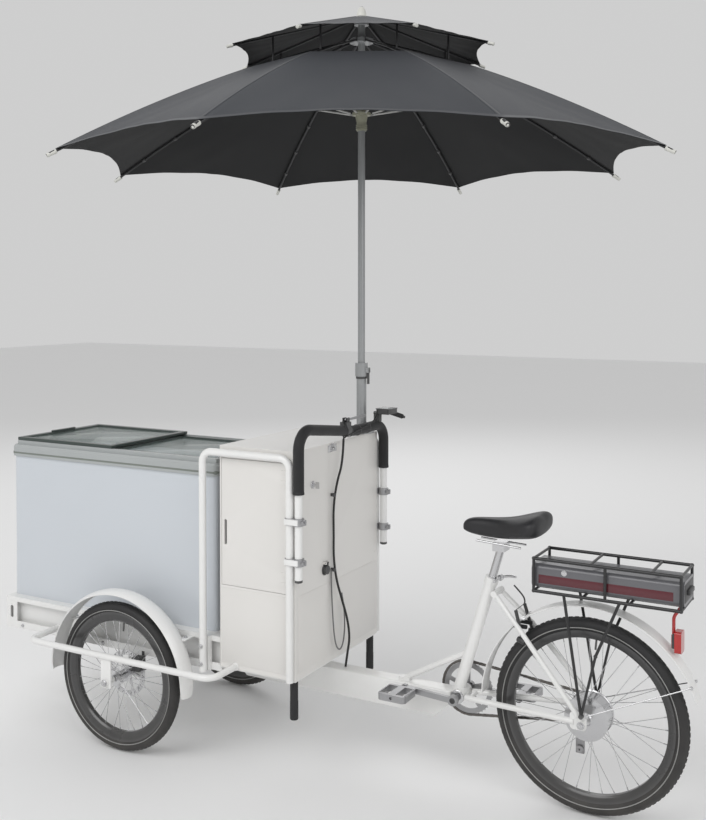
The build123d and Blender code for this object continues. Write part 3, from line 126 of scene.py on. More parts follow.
class Paintshop:
    """Builds the shared shader groups once and the materials that use them."""

    def __init__(self) -> None:
        """Builds every shared group."""
        self.tone = self._tone_group()
        self.relief = self._relief_group()
        self.weave = self._weave_group()
        self.grime = self._grime_group()
        self.made: dict[str, bpy.types.Material] = {}

    @staticmethod
    def _noise(tree: bpy.types.NodeTree, scale_from, detail: float) -> bpy.types.Node:
        """Noise on object coordinates whose scale comes from a socket."""
        coords = tree.nodes.new("ShaderNodeTexCoord")
        noise = tree.nodes.new("ShaderNodeTexNoise")
        noise.inputs["Detail"].default_value = detail
        tree.links.new(coords.outputs["Object"], noise.inputs["Vector"])
        tree.links.new(scale_from, noise.inputs["Scale"])
        return noise

    def _tone_group(self) -> bpy.types.NodeTree:
        """Slow colour and gloss variation over a surface, with brighter or darker edges."""
        tree = new_group(
            "tone_and_wear",
            {"Color": COLOR, "Edge Color": COLOR, "Scale": FLOAT, "Variation": FLOAT, "Wear": FLOAT,
             "Roughness": FLOAT},
            {"Color": COLOR, "Roughness": FLOAT},
        )
        nodes, links = tree.nodes, tree.links
        source, sink = nodes["in"], nodes["out"]
        noise = self._noise(tree, source.outputs["Scale"], 6.0)
        spread = nodes.new("ShaderNodeMath")
        spread.operation = "SUBTRACT"
        spread.inputs[1].default_value = 0.5
        links.new(noise.outputs["Fac"], spread.inputs[0])
        amount = nodes.new("ShaderNodeMath")
        amount.operation = "MULTIPLY"
        links.new(spread.outputs[0], amount.inputs[0])
        links.new(source.outputs["Variation"], amount.inputs[1])
        gain = nodes.new("ShaderNodeMath")
        gain.operation = "MULTIPLY_ADD"
        gain.inputs[1].default_value = 2.0
        gain.inputs[2].default_value = 1.0
        links.new(amount.outputs[0], gain.inputs[0])
        shade = nodes.new("ShaderNodeHueSaturation")
        links.new(gain.outputs[0], shade.inputs["Value"])
        links.new(source.outputs["Color"], shade.inputs["Color"])
        geometry = nodes.new("ShaderNodeNewGeometry")
        ridge = nodes.new("ShaderNodeMapRange")
        ridge.inputs["From Min"].default_value = 0.52
        ridge.inputs["From Max"].default_value = 0.60
        links.new(geometry.outputs["Pointiness"], ridge.inputs["Value"])
        edge = nodes.new("ShaderNodeMath")
        edge.operation = "MULTIPLY"
        links.new(ridge.outputs[0], edge.inputs[0])
        links.new(source.outputs["Wear"], edge.inputs[1])
        mix = nodes.new("ShaderNodeMix")
        mix.data_type = "RGBA"
        links.new(edge.outputs[0], mix.inputs["Factor"])
        links.new(shade.outputs["Color"], mix.inputs["A"])
        links.new(source.outputs["Edge Color"], mix.inputs["B"])
        links.new(mix.outputs["Result"], sink.inputs["Color"])
        rough = nodes.new("ShaderNodeMath")
        rough.operation = "ADD"
        rough.use_clamp = True
        links.new(source.outputs["Roughness"], rough.inputs[0])
        links.new(amount.outputs[0], rough.inputs[1])
        links.new(rough.outputs[0], sink.inputs["Roughness"])
        return tree

    def _relief_group(self) -> bpy.types.NodeTree:
        """Fine noise height for peel, grain and foam."""
        tree = new_group("fine_relief", {"Scale": FLOAT, "Sharpness": FLOAT}, {"Height": FLOAT})
        source, sink = tree.nodes["in"], tree.nodes["out"]
        noise = self._noise(tree, source.outputs["Scale"], 3.0)
        power = tree.nodes.new("ShaderNodeMath")
        power.operation = "POWER"
        tree.links.new(noise.outputs["Fac"], power.inputs[0])
        tree.links.new(source.outputs["Sharpness"], power.inputs[1])
        tree.links.new(power.outputs[0], sink.inputs["Height"])
        return tree

    @staticmethod
    def _weave_group() -> bpy.types.NodeTree:
        """Plain weave of crossing threads on the cloth's own UV map, in threads per unit."""
        tree = new_group("plain_weave", {"Threads": FLOAT}, {"Height": FLOAT, "Thread": FLOAT})
        nodes, links = tree.nodes, tree.links
        source, sink = nodes["in"], nodes["out"]
        coords = nodes.new("ShaderNodeTexCoord")
        split = nodes.new("ShaderNodeSeparateXYZ")
        links.new(coords.outputs["UV"], split.inputs[0])
        waves = []
        for axis in ("X", "Y"):
            phase = nodes.new("ShaderNodeMath")
            phase.operation = "MULTIPLY"
            links.new(split.outputs[axis], phase.inputs[0])
            links.new(source.outputs["Threads"], phase.inputs[1])
            wave = nodes.new("ShaderNodeMath")
            wave.operation = "SINE"
            links.new(phase.outputs[0], wave.inputs[0])
            waves.append(wave)
        cross = nodes.new("ShaderNodeMath")
        cross.operation = "MULTIPLY"
        links.new(waves[0].outputs[0], cross.inputs[0])
        links.new(waves[1].outputs[0], cross.inputs[1])
        level = nodes.new("ShaderNodeMath")
        level.operation = "MULTIPLY_ADD"
        level.inputs[1].default_value = 0.5
        level.inputs[2].default_value = 0.5
        links.new(cross.outputs[0], level.inputs[0])
        links.new(level.outputs[0], sink.inputs["Height"])
        links.new(level.outputs[0], sink.inputs["Thread"])
        return tree

    def _grime_group(self) -> bpy.types.NodeTree:
        """Dust that gathers low on the vehicle, from object height."""
        tree = new_group("low_dust", {"Color": COLOR, "Dust": COLOR, "Top": FLOAT, "Amount": FLOAT},
                         {"Color": COLOR})
        nodes, links = tree.nodes, tree.links
        source, sink = nodes["in"], nodes["out"]
        coords = nodes.new("ShaderNodeTexCoord")
        split = nodes.new("ShaderNodeSeparateXYZ")
        links.new(coords.outputs["Object"], split.inputs[0])
        fall = nodes.new("ShaderNodeMapRange")
        links.new(split.outputs["Z"], fall.inputs["Value"])
        links.new(source.outputs["Top"], fall.inputs["From Max"])
        fall.inputs["To Min"].default_value = 1.0
        fall.inputs["To Max"].default_value = 0.0
        noise = nodes.new("ShaderNodeTexNoise")
        noise.inputs["Scale"].default_value = 22.0
        noise.inputs["Detail"].default_value = 8.0
        links.new(coords.outputs["Object"], noise.inputs["Vector"])
        patch = nodes.new("ShaderNodeMath")
        patch.operation = "MULTIPLY"
        links.new(fall.outputs[0], patch.inputs[0])
        links.new(noise.outputs["Fac"], patch.inputs[1])
        mask = nodes.new("ShaderNodeMath")
        mask.operation = "MULTIPLY"
        mask.use_clamp = True
        links.new(patch.outputs[0], mask.inputs[0])
        links.new(source.outputs["Amount"], mask.inputs[1])
        mix = nodes.new("ShaderNodeMix")
        mix.data_type = "RGBA"
        links.new(mask.outputs[0], mix.inputs["Factor"])
        links.new(source.outputs["Color"], mix.inputs["A"])
        links.new(source.outputs["Dust"], mix.inputs["B"])
        links.new(mix.outputs["Result"], sink.inputs["Color"])
        return tree

    def material(self, finish: "Finish") -> bpy.types.Material:
        """Returns the material of a finish, built on its first use."""
        if finish.name not in self.made:
            self.made[finish.name] = finish.build(self)
        return self.made[finish.name]


@dataclass(frozen=True)
class Finish:
    """One surface finish: its colour, gloss, relief and wear."""

    name: str
    slot: str
    color: Point
    roughness: float = 0.35
    metallic: float = 0.0
    coat: float = 0.0
    variation: float = 0.04
    variation_scale: float = 7.0
    skin: Skin = Skin.PLAIN
    relief_scale: float = 400.0
    relief: float = 0.1
    relief_depth: float = 0.0004
    wear: float = 0.0
    edge_color: Point = (0.3, 0.3, 0.3)
    dust: float = 0.0
    sheen: float = 0.0
    transmission: float = 0.0
    alpha: float = 1.0
    emission: float = 0.0
    # Darker colour for back faces: painted shade on the side of a sheet turned from the light.
    back_painted_shade: Point | None = None

    def build(self, shop: Paintshop) -> bpy.types.Material:
        """Builds the node material.

        Args:
            shop: Holds the shared shader groups.

        Returns:
            The new material.
        """
        material = bpy.data.materials.new(self.name)
        material.use_nodes = True
        tree = material.node_tree
        nodes, links = tree.nodes, tree.links
        shader = nodes["Principled BSDF"]
        tone = nodes.new("ShaderNodeGroup")
        tone.node_tree = shop.tone
        tone.inputs["Color"].default_value = (*self.color, 1)
        tone.inputs["Edge Color"].default_value = (*self.edge_color, 1)
        tone.inputs["Scale"].default_value = self.variation_scale
        tone.inputs["Variation"].default_value = self.variation
        tone.inputs["Wear"].default_value = self.wear
        tone.inputs["Roughness"].default_value = self.roughness
        color = tone.outputs["Color"]
        if self.dust:
            grime = nodes.new("ShaderNodeGroup")
            grime.node_tree = shop.grime
            grime.inputs["Dust"].default_value = (0.36, 0.33, 0.29, 1)
            grime.inputs["Top"].default_value = 0.55
            grime.inputs["Amount"].default_value = self.dust
            links.new(color, grime.inputs["Color"])
            color = grime.outputs["Color"]
        # Back faces take a darker colour: painted shade on the underside of a sheet.
        if self.back_painted_shade:
            geometry = nodes.new("ShaderNodeNewGeometry")
            sides = nodes.new("ShaderNodeMix")
            sides.data_type = "RGBA"
            links.new(geometry.outputs["Backfacing"], sides.inputs["Factor"])
            links.new(color, sides.inputs["A"])
            sides.inputs["B"].default_value = (*self.back_painted_shade, 1)
            color = sides.outputs["Result"]
        links.new(color, shader.inputs["Base Color"])
        links.new(tone.outputs["Roughness"], shader.inputs["Roughness"])
        shader.inputs["Metallic"].default_value = self.metallic
        shader.inputs["Coat Weight"].default_value = self.coat
        shader.inputs["Coat Roughness"].default_value = 0.12
        shader.inputs["Sheen Weight"].default_value = self.sheen
        shader.inputs["Transmission Weight"].default_value = self.transmission
        shader.inputs["Alpha"].default_value = self.alpha
        if self.emission:
            shader.inputs["Emission Color"].default_value = (*self.color, 1)
            shader.inputs["Emission Strength"].default_value = self.emission
        if self.skin is not Skin.PLAIN:
            bump = nodes.new("ShaderNodeBump")
            bump.inputs["Strength"].default_value = self.relief
            bump.inputs["Distance"].default_value = self.relief_depth
            links.new(self._height(shop, tree), bump.inputs["Height"])
            links.new(bump.outputs["Normal"], shader.inputs["Normal"])
        return material

    def _height(self, shop: Paintshop, tree: bpy.types.NodeTree):
        """Height socket of this finish's relief."""
        group = tree.nodes.new("ShaderNodeGroup")
        if self.skin is Skin.WEAVE:
            group.node_tree = shop.weave
            group.inputs["Threads"].default_value = self.relief_scale
            return group.outputs["Height"]
        group.node_tree = shop.relief
        group.inputs["Scale"].default_value = self.relief_scale
        group.inputs["Sharpness"].default_value = 3.0 if self.skin is Skin.FOAM else 1.0
        return group.outputs["Height"]


POWDER = dict(skin=Skin.PEEL, relief_scale=260.0, relief=0.05, coat=0.35)
WHITE = Finish("white_powder_coat", "white_frame", (0.83, 0.83, 0.82), 0.32, variation=0.03, wear=0.12,
               edge_color=(0.62, 0.62, 0.60), dust=0.25, **POWDER)
BODY = Finish("freezer_sheet", "freezer_body", (0.60, 0.635, 0.675), 0.36, variation=0.025,
              variation_scale=3.0, wear=0.1, edge_color=(0.5, 0.52, 0.54), dust=0.12, **POWDER)
TRIM = Finish("freezer_trim_grey", "freezer_trim", (0.40, 0.42, 0.42), 0.42, variation=0.05,
              skin=Skin.GRAIN, relief_scale=700.0, relief=0.12)
TRIM_BAND = Finish("freezer_band_olive", "freezer_trim", (0.19, 0.21, 0.19), 0.45, variation=0.06,
                   skin=Skin.GRAIN, relief_scale=700.0, relief=0.12)
GLASS = Finish("tinted_glass", "lid_glass", (0.50, 0.60, 0.57), 0.05, variation=0.01,
               transmission=0.0, alpha=0.28, coat=0.5)
LID_FRAME = Finish("lid_frame_dark", "freezer_trim", (0.045, 0.06, 0.055), 0.38, variation=0.06,
                   skin=Skin.GRAIN, relief_scale=600.0, relief=0.1)
CABINET = Finish("cabinet_sheet", "cabinet_white", (0.76, 0.745, 0.72), 0.36, variation=0.025,
                 variation_scale=3.5, wear=0.12, edge_color=(0.6, 0.58, 0.55), dust=0.16, **POWDER)
FOAM = Finish("grip_foam", "black_rubber", (0.012, 0.012, 0.013), 0.72, variation=0.15,
              variation_scale=30.0,
              skin=Skin.FOAM, relief_scale=520.0, relief=0.55, relief_depth=0.0006, sheen=0.12)
RUBBER = Finish("black_rubber", "black_rubber", (0.016, 0.016, 0.017), 0.6, variation=0.12,
                variation_scale=25.0, skin=Skin.GRAIN, relief_scale=500.0, relief=0.2)
CABLE = Finish("cable_jacket", "black_rubber", (0.012, 0.012, 0.012), 0.4, variation=0.08,
               variation_scale=40.0, skin=Skin.GRAIN, relief_scale=900.0, relief=0.1)
GREY_LEAD = Finish("grey_jacket", "pole_grey", (0.16, 0.16, 0.16), 0.45, variation=0.08,
                   variation_scale=40.0, skin=Skin.GRAIN, relief_scale=900.0, relief=0.1)
TYRE = Finish("tyre_rubber", "tyre_black", (0.014, 0.014, 0.015), 0.62, variation=0.2, variation_scale=18.0,
              skin=Skin.GRAIN, relief_scale=420.0, relief=0.3, dust=0.18)
STRIPE = Finish("tyre_stripe", "tyre_black", (0.34, 0.34, 0.33), 0.4, variation=0.15,
                skin=Skin.GRAIN, relief_scale=500.0, relief=0.1)
RIM = Finish("rim_black", "rim_black", (0.014, 0.014, 0.015), 0.28, coat=0.4, variation=0.08, wear=0.25,
             skin=Skin.PEEL, relief_scale=300.0, relief=0.04, dust=0.1)
SPOKE = Finish("spoke_steel", "bright_steel", (0.62, 0.62, 0.63), 0.22, 1.0, variation=0.1,
               variation_scale=30.0, skin=Skin.BRUSHED, relief_scale=800.0, relief=0.06)
STEEL = Finish("bright_steel", "bright_steel", (0.60, 0.60, 0.61), 0.24, 1.0, variation=0.08,
               variation_scale=16.0, skin=Skin.BRUSHED, relief_scale=700.0, relief=0.07, wear=0.3,
               edge_color=(0.75, 0.75, 0.75))
CAST = Finish("cast_alloy", "bright_steel", (0.40, 0.40, 0.41), 0.38, 0.9, variation=0.12,
              variation_scale=16.0, skin=Skin.GRAIN, relief_scale=500.0, relief=0.2, dust=0.15)
CHAIN = Finish("oiled_chain", "bright_steel", (0.16, 0.15, 0.14), 0.35, 0.9, variation=0.3,
               variation_scale=60.0, skin=Skin.GRAIN, relief_scale=400.0, relief=0.2)
BLACK_STEEL = Finish("black_rod", "black_steel", (0.015, 0.015, 0.016), 0.36, coat=0.25, variation=0.1,
                     wear=0.3, skin=Skin.PEEL, relief_scale=350.0, relief=0.06)
BLACK_PLASTIC = Finish("black_plastic", "black_plastic", (0.018, 0.018, 0.019), 0.42, variation=0.1,
                       wear=0.2, skin=Skin.GRAIN, relief_scale=650.0, relief=0.2)
GREY_PLASTIC = Finish("grey_plastic", "black_plastic", (0.10, 0.10, 0.105), 0.4, variation=0.08,
                      skin=Skin.GRAIN, relief_scale=650.0, relief=0.15)
SCREEN = Finish("display_screen", "black_plastic", (0.12, 0.15, 0.14), 0.08, coat=0.6, variation=0.02)
POLE = Finish("pole_coat", "pole_grey", (0.36, 0.37, 0.375), 0.34, 0.35, variation=0.05,
              skin=Skin.BRUSHED, relief_scale=420.0, relief=0.06, coat=0.2)
RUNNER = Finish("runner_plastic", "runner_plastic", (0.30, 0.30, 0.23), 0.45, variation=0.08,
                skin=Skin.GRAIN, relief_scale=500.0, relief=0.2)
RIB_STEEL = Finish("rib_steel", "rib_black", (0.03, 0.03, 0.032), 0.38, 0.4, variation=0.1,
                   skin=Skin.PEEL, relief_scale=300.0, relief=0.06)
STRUT_STEEL = Finish("strut_steel", "rib_black", (0.42, 0.42, 0.41), 0.35, 0.6, variation=0.08,
                     skin=Skin.PEEL, relief_scale=300.0, relief=0.06)
TIP = Finish("tip_plastic", "runner_plastic", (0.62, 0.62, 0.58), 0.4, variation=0.08,
             skin=Skin.GRAIN, relief_scale=500.0, relief=0.1)
# The canopy cloth's back faces are painted darker: painted shade under the canopy.
CLOTH = Finish("canopy_polyester", "canopy_cloth", (0.017, 0.0205, 0.028), 0.7, variation=0.16,
               variation_scale=3.0, skin=Skin.WEAVE, relief_scale=4200.0, relief=0.35,
               relief_depth=0.0003, sheen=0.08, back_painted_shade=(0.006, 0.006, 0.008))
BINDING = Finish("hem_binding", "canopy_cloth", (0.022, 0.025, 0.032), 0.7, variation=0.15,
                 skin=Skin.GRAIN, relief_scale=900.0, relief=0.3, sheen=0.2)
VINYL = Finish("saddle_vinyl", "black_rubber", (0.017, 0.017, 0.019), 0.48, variation=0.14,
               variation_scale=14.0, skin=Skin.GRAIN, relief_scale=380.0, relief=0.45, relief_depth=0.0006)
BATTERY = Finish("battery_shell", "battery_shell", (0.13, 0.13, 0.14), 0.3, coat=0.25, variation=0.06,
                 skin=Skin.GRAIN, relief_scale=600.0, relief=0.1)
MAROON = Finish("battery_side", "battery_shell", (0.10, 0.012, 0.02), 0.25, coat=0.4, variation=0.1,
                skin=Skin.GRAIN, relief_scale=500.0, relief=0.05)
RED_LENS = Finish("red_lens", "lamp_red", (0.42, 0.012, 0.012), 0.12, coat=0.6, variation=0.15,
                  variation_scale=40.0, skin=Skin.GRAIN, relief_scale=260.0, relief=0.25)
SHOP = Paintshop()


# ---------------------------------------------------------------- bench tools


def deselect() -> None:
    """Leaves edit mode and deselects everything."""
    if bpy.context.object and bpy.context.object.mode != "OBJECT":
        bpy.ops.object.mode_set(mode="OBJECT")
    bpy.ops.object.select_all(action="DESELECT")


def pick(piece: bpy.types.Object) -> None:
    """Makes one piece the only selected and the active one."""
    deselect()
    piece.select_set(True)
    bpy.context.view_layer.objects.active = piece


def settle(piece: bpy.types.Object, name: str) -> bpy.types.Object:
    """Names a new piece and moves its place into its mesh."""
    piece.name = name
    bpy.ops.object.transform_apply(location=True, rotation=True, scale=True)
    return piece


def apply_modifier(piece: bpy.types.Object, kind: str, **settings) -> None:
    """Adds a modifier, sets it and applies it."""
    pick(piece)
    modifier = piece.modifiers.new(kind.lower(), kind)
    for key, value in settings.items():
        setattr(modifier, key, value)
    bpy.ops.object.modifier_apply(modifier=modifier.name)


def bevel(piece: bpy.types.Object, width: float, segments: int = 2, angle: float = 40.0) -> None:
    """Rounds the sharp edges of a piece."""
    apply_modifier(piece, "BEVEL", width=width, segments=segments, limit_method="ANGLE",
                   angle_limit=radians(angle))


def slab(name: str, low: Vector, high: Vector, edge: float = 0.0015) -> bpy.types.Object:
    """Box between two corners with rounded edges.

    Args:
        name: The piece's name.
        low: One corner.
        high: The other corner.
        edge: Radius of its edges, in metres.

    Returns:
        The new piece.
    """
    deselect()
    size = Vector([abs(b - a) for a, b in zip(low, high)])
    bpy.ops.mesh.primitive_cube_add(size=1, location=(low + high) / 2, scale=size)
    piece = settle(bpy.context.object, name)
    if edge:
        bevel(piece, min(edge, min(size) * 0.45))
    return piece


def bar(name: str, start: Vector, end: Vector, radius: float, sides: int = 24,
        edge: float = 0.0) -> bpy.types.Object:
    """Round bar between two points, its rims rounded by edge.

    Args:
        name: The piece's name.
        start: One end's centre.
        end: The other end's centre.
        radius: Its radius.
        sides: Facets round it.
        edge: Radius of its rims.

    Returns:
        The new piece.
    """
    deselect()
    run = end - start
    bpy.ops.mesh.primitive_cylinder_add(
        vertices=sides, radius=radius, depth=run.length, location=(start + end) / 2,
        rotation=run.to_track_quat("Z", "Y").to_euler(),
    )
    piece = settle(bpy.context.object, name)
    if edge:
        bevel(piece, edge, 2)
    return piece


def lathe(name: str, profile: list[tuple[float, float]], centre: Vector, axis: Vector, steps: int = 64,
          closed: bool = False) -> bpy.types.Object:
    """Spins a profile round an axis.

    Args:
        name: The piece's name.
        profile: Radius and distance along the axis of each outline point, in metres.
        centre: The axis's zero point.
        axis: The axis's direction.
        steps: Steps round the turn.
        closed: True when the outline is a closed ring that doesn't reach the axis.

    Returns:
        The new piece.
    """
    axis = axis.normalized()
    side = axis.orthogonal().normalized()
    points = [centre + side * radius + axis * along for radius, along in profile]
    edges = [(i, i + 1) for i in range(len(points) - 1)]
    if closed:
        edges.append((len(points) - 1, 0))
    mesh = bpy.data.meshes.new(name)
    mesh.from_pydata([tuple(point) for point in points], edges, [])
    piece = bpy.data.objects.new(name, mesh)
    bpy.context.scene.collection.objects.link(piece)
    pick(piece)
    bpy.ops.object.mode_set(mode="EDIT")
    bpy.ops.mesh.select_all(action="SELECT")
    bpy.ops.mesh.spin(steps=steps, angle=2 * pi, center=centre, axis=axis)
    bpy.ops.mesh.select_all(action="SELECT")
    bpy.ops.mesh.remove_doubles(threshold=1e-6)
    bpy.ops.mesh.normals_make_consistent(inside=False)
    bpy.ops.object.mode_set(mode="OBJECT")
    return piece


def smooth_curve(name: str, points: list[Vector], radius: float, sides: int = 4,
                 closed: bool = False) -> bpy.types.Object:
    """NURBS curve of a given thickness through its control points' hull."""
    curve = bpy.data.curves.new(name, "CURVE")
    curve.dimensions = "3D"
    curve.bevel_depth = radius
    curve.bevel_resolution = sides
    curve.resolution_u = 12
    curve.use_fill_caps = True
    spline = curve.splines.new("NURBS")
    spline.points.add(len(points) - 1)
    for knot, point in zip(spline.points, points):
        knot.co = (*point, 1)
    spline.order_u = 3
    if closed:
        spline.use_cyclic_u = True
    else:
        spline.use_endpoint_u = True
    piece = bpy.data.objects.new(name, curve)
    bpy.context.scene.collection.objects.link(piece)
    return piece


def wire(name: str, points: list[Vector], radius: float, sides: int = 3,
         closed: bool = False) -> bpy.types.Object:
    """Mesh of a bent wire or tube."""
    piece = smooth_curve(name, points, radius, sides, closed)
    pick(piece)
    bpy.ops.object.convert(target="MESH")
    return bpy.context.object


def join(name: str, pieces: list[bpy.types.Object]) -> bpy.types.Object:
    """Joins pieces into the first one."""
    deselect()
    for piece in pieces:
        piece.select_set(True)
    bpy.context.view_layer.objects.active = pieces[0]
    if len(pieces) > 1:
        bpy.ops.object.join()
    pieces[0].name = name
    return pieces[0]


def repeat(name: str, model: bpy.types.Object, places: list[Matrix]) -> bpy.types.Object:
    """Copies one modelled piece to many places and joins the copies.

    Args:
        name: The new piece's name.
        model: The piece that is copied; it is removed.
        places: One matrix a copy, in the frame.

    Returns:
        The joined piece.
    """
    copies = []
    for place in places:
        copy = bpy.data.objects.new(name, model.data.copy())
        copy.data.transform(place)
        bpy.context.scene.collection.objects.link(copy)
        copies.append(copy)
    bpy.data.objects.remove(model)
    return join(name, copies)


def turned(centre: Vector, axis: Vector, angle: float) -> Matrix:
    """Turn about an axis through a point."""
    return Matrix.Translation(centre) @ Matrix.Rotation(angle, 4, axis) @ Matrix.Translation(-centre)


def dress(piece: bpy.types.Object, finish: Finish, body: str, angle: float = 35.0,
          *nodes: str) -> bpy.types.Object:
    """Gives a piece its finish and its body.

    Args:
        piece: The piece.
        finish: Its finish.
        body: The CAD body that it moves with.
        angle: Edges sharper than this stay sharp, in degrees.
        nodes: CAD nodes that it stands for.

    Returns:
        The piece.
    """
    if piece.type == "MESH":
        pick(piece)
        bpy.ops.object.shade_smooth_by_angle(angle=radians(angle))
    piece.data.materials.clear()
    piece.data.materials.append(SHOP.material(finish))
    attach(piece, body)
    if nodes:
        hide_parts(*nodes)
    log.info("%s: %s on %s", piece.name, finish.name, body)
    return piece


def dress_node(node: str, finish: Finish) -> None:
    """Gives a CAD node a finish."""
    data = frame["nodes"][node].data
    data.materials.clear()
    data.materials.append(SHOP.material(finish))


Y_AXIS = Vector((0, 1, 0))
Z_AXIS = Vector((0, 0, 1))
X_AXIS = Vector((1, 0, 0))


# ---------------------------------------------------------------- wheels


@dataclass
class Wheel:
    """Spoked wheel with a treaded tyre, turning about an axis along Y."""

    name: str
    body: str
    tyre_node: str
    wheel_node: str
    hub_radius: float
    hub_half: float
    rim_inner: float
    rim_seat: float
    stripe: float
    disc_side: int = 0
    spokes: int = 36
    lugs: int = 84
    bore: float = 0.0062

    def __post_init__(self) -> None:
        """Reads the wheel's centre and size from its CAD nodes."""
        low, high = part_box(self.tyre_node)
        self.centre = (low + high) / 2
        self.radius = (high.z - low.z) / 2
        self.width = high.y - low.y

    def tyre(self) -> None:
        """Carcass with a rounded tread, lugs in three rows and a bright stripe."""
        half, top, seat = self.width / 2, self.radius - 0.0016, self.rim_seat
        deep = top - seat
        outline = [
            (seat - 0.004, -half * 0.46), (seat + deep * 0.16, -half * 0.80),
            (seat + deep * 0.42, -half * 0.985),
            (seat + deep * 0.62, -half * 0.95), (seat + deep * 0.80, -half * 0.76),
            (seat + deep * 0.93, -half * 0.45),
            (top, -half * 0.16), (top, half * 0.16), (seat + deep * 0.93, half * 0.45),
            (seat + deep * 0.80, half * 0.76), (seat + deep * 0.62, half * 0.95),
            (seat + deep * 0.42, half * 0.985),
            (seat + deep * 0.16, half * 0.80), (seat - 0.004, half * 0.46),
        ]
        carcass = lathe(self.name + "_tyre", outline, self.centre, Y_AXIS, 120, closed=True)
        rows = []
        for share, drop, width in ((0.0, 0.0, 0.22), (0.34, 0.085, 0.17), (-0.34, 0.085, 0.17),
                                   (0.63, 0.26, 0.13), (-0.63, 0.26, 0.13)):
            y = self.centre.y + share * half
            z = self.centre.z + self.radius - drop * deep * 0.9
            lug = slab("lug", Vector((self.centre.x - 0.0062, y - width * half / 2, z - 0.005)),
                       Vector((self.centre.x + 0.0052, y + width * half / 2, z)), 0.0)
            lean = turned(Vector((self.centre.x, y, z)), X_AXIS, -share * 0.9)
            lug.data.transform(lean)
            offset = 0.5 if abs(share) > 0.2 else 0.0
            places = [turned(self.centre, Y_AXIS,
                             2 * pi * (i + offset) / self.lugs) for i in range(self.lugs)]
            rows.append(repeat("lugs", lug, places))
        tyre = join(self.name + "_tyre", [carcass] + rows)
        dress(tyre, TYRE, self.body, 40.0, self.tyre_node)
        bands = []
        for side in (-1, 1):
            y = side * half * 0.93
            ring = [(self.stripe - 0.0016, y), (self.stripe, y + side * 0.0022), (self.stripe + 0.0016, y),
                    (self.stripe, y - side * 0.001)]
            bands.append(lathe("band", ring, self.centre, Y_AXIS, 120, closed=True))
        dress(join(self.name + "_stripe", bands), STRIPE, self.body)

    def rim(self) -> bpy.types.Object:
        """Deep box-section rim with hooked edges."""
        seat, inner = self.rim_seat, self.rim_inner
        outline = [
            (seat + 0.004, -0.0142), (seat + 0.0045, -0.0122), (seat - 0.004, -0.0112), (seat - 0.006, 0.0),
            (seat - 0.004, 0.0112), (seat + 0.0045, 0.0122), (seat + 0.004, 0.0142), (seat - 0.010, 0.0145),
            (inner + 0.006, 0.0125), (inner, 0.0075), (inner - 0.0006, 0.0), (inner, -0.0075),
            (inner + 0.006, -0.0125), (seat - 0.010, -0.0145),
        ]
        return lathe(self.name + "_rim", outline, self.centre, Y_AXIS, 120, closed=True)

    def spokes_and_nipples(self) -> bpy.types.Object:
        """Crossed spokes from both hub flanges, each ending in a nipple."""
        pieces = []
        flange = self.hub_radius - 0.004
        for pattern in range(4):
            side = 1 if pattern % 2 else -1
            lean = radians(34 if self.hub_radius < 0.04 else 16) * (1 if pattern < 2 else -1)
            root = self.centre + Vector((sin(lean) * flange, side * self.hub_half * 0.8,
                                         cos(lean) * flange))
            tip = self.centre + Vector((0, side * 0.002, self.rim_inner + 0.002))
            spoke = bar("spoke", root, tip, 0.00105, 6)
            nipple = bar("nipple", tip + (root - tip).normalized() * 0.013, tip, 0.002, 6)
            head = bar("head", root - Y_AXIS * 0.002, root + Y_AXIS * 0.002, 0.0021, 6)
            model = join("spoke", [spoke, nipple, head])
            count = self.spokes // 4
            places = [
                turned(self.centre, Y_AXIS, 2 * pi * (i + pattern / 4) / count) for i in range(count)
            ]
            pieces.append(repeat("spokes", model, places))
        return join(self.name + "_spokes", pieces)

    def hub(self) -> bpy.types.Object:
        """Turned hub shell with two drilled-looking flanges."""
        r, h = self.hub_radius, self.hub_half
        if r > 0.04:
            outline = [(self.bore, -h), (0.016, -h), (0.020, -h + 0.004), (r * 0.62, -h + 0.006),
                       (r - 0.006, -h * 0.84),
                       (r, -h * 0.80), (r, -h * 0.72), (r - 0.003, -h * 0.66), (r - 0.003, h * 0.66),
                       (r, h * 0.72),
                       (r, h * 0.80), (r - 0.006, h * 0.84), (r * 0.62, h - 0.006), (0.020, h - 0.004),
                       (0.016, h),
                       (self.bore, h)]
        else:
            outline = [(self.bore, -h), (0.012, -h), (0.013, -h * 0.88), (r, -h * 0.86), (r, -h * 0.76),
                       (0.016, -h * 0.70),
                       (0.0145, 0.0), (0.016, h * 0.70), (r, h * 0.76), (r, h * 0.86), (0.013, h * 0.88),
                       (0.012, h),
                       (self.bore, h)]
        return lathe(self.name + "_hub", outline, self.centre, Y_AXIS, 64, closed=True)

    def disc(self) -> bpy.types.Object:
        """Vented brake disc on a six-arm spider."""
        y = self.centre.y + self.disc_side * (self.hub_half - 0.0015)
        place = Vector((self.centre.x, y, self.centre.z))
        ring = lathe("disc", [(0.062, -0.001), (0.080, -0.001), (0.080, 0.001), (0.062, 0.001)], place,
                     Y_AXIS, 72, True)
        arm = slab("arm", place + Vector((0.016, -0.0011, -0.004)), place + Vector((0.066, 0.0011, 0.005)),
                   0.0006)
        arm.data.transform(turned(place + Vector((0.04, 0, 0)), Y_AXIS, 0.35))
        arms = repeat("arms", arm, [turned(place, Y_AXIS, i * pi / 3) for i in range(6)])
        slot = slab("slot", place + Vector((0.066, -0.0013, -0.0011)),
                    place + Vector((0.077, 0.0013, 0.0011)), 0.0003)
        slot.data.transform(turned(place + Vector((0.0715, 0, 0)), Y_AXIS, 0.6))
        slots = repeat("slots", slot, [turned(place, Y_AXIS, i * pi / 12) for i in range(24)])
        dress(slots, BLACK_STEEL, self.body)
        slots.name = self.name + "_disc_vents"
        return join(self.name + "_disc", [ring, arms])

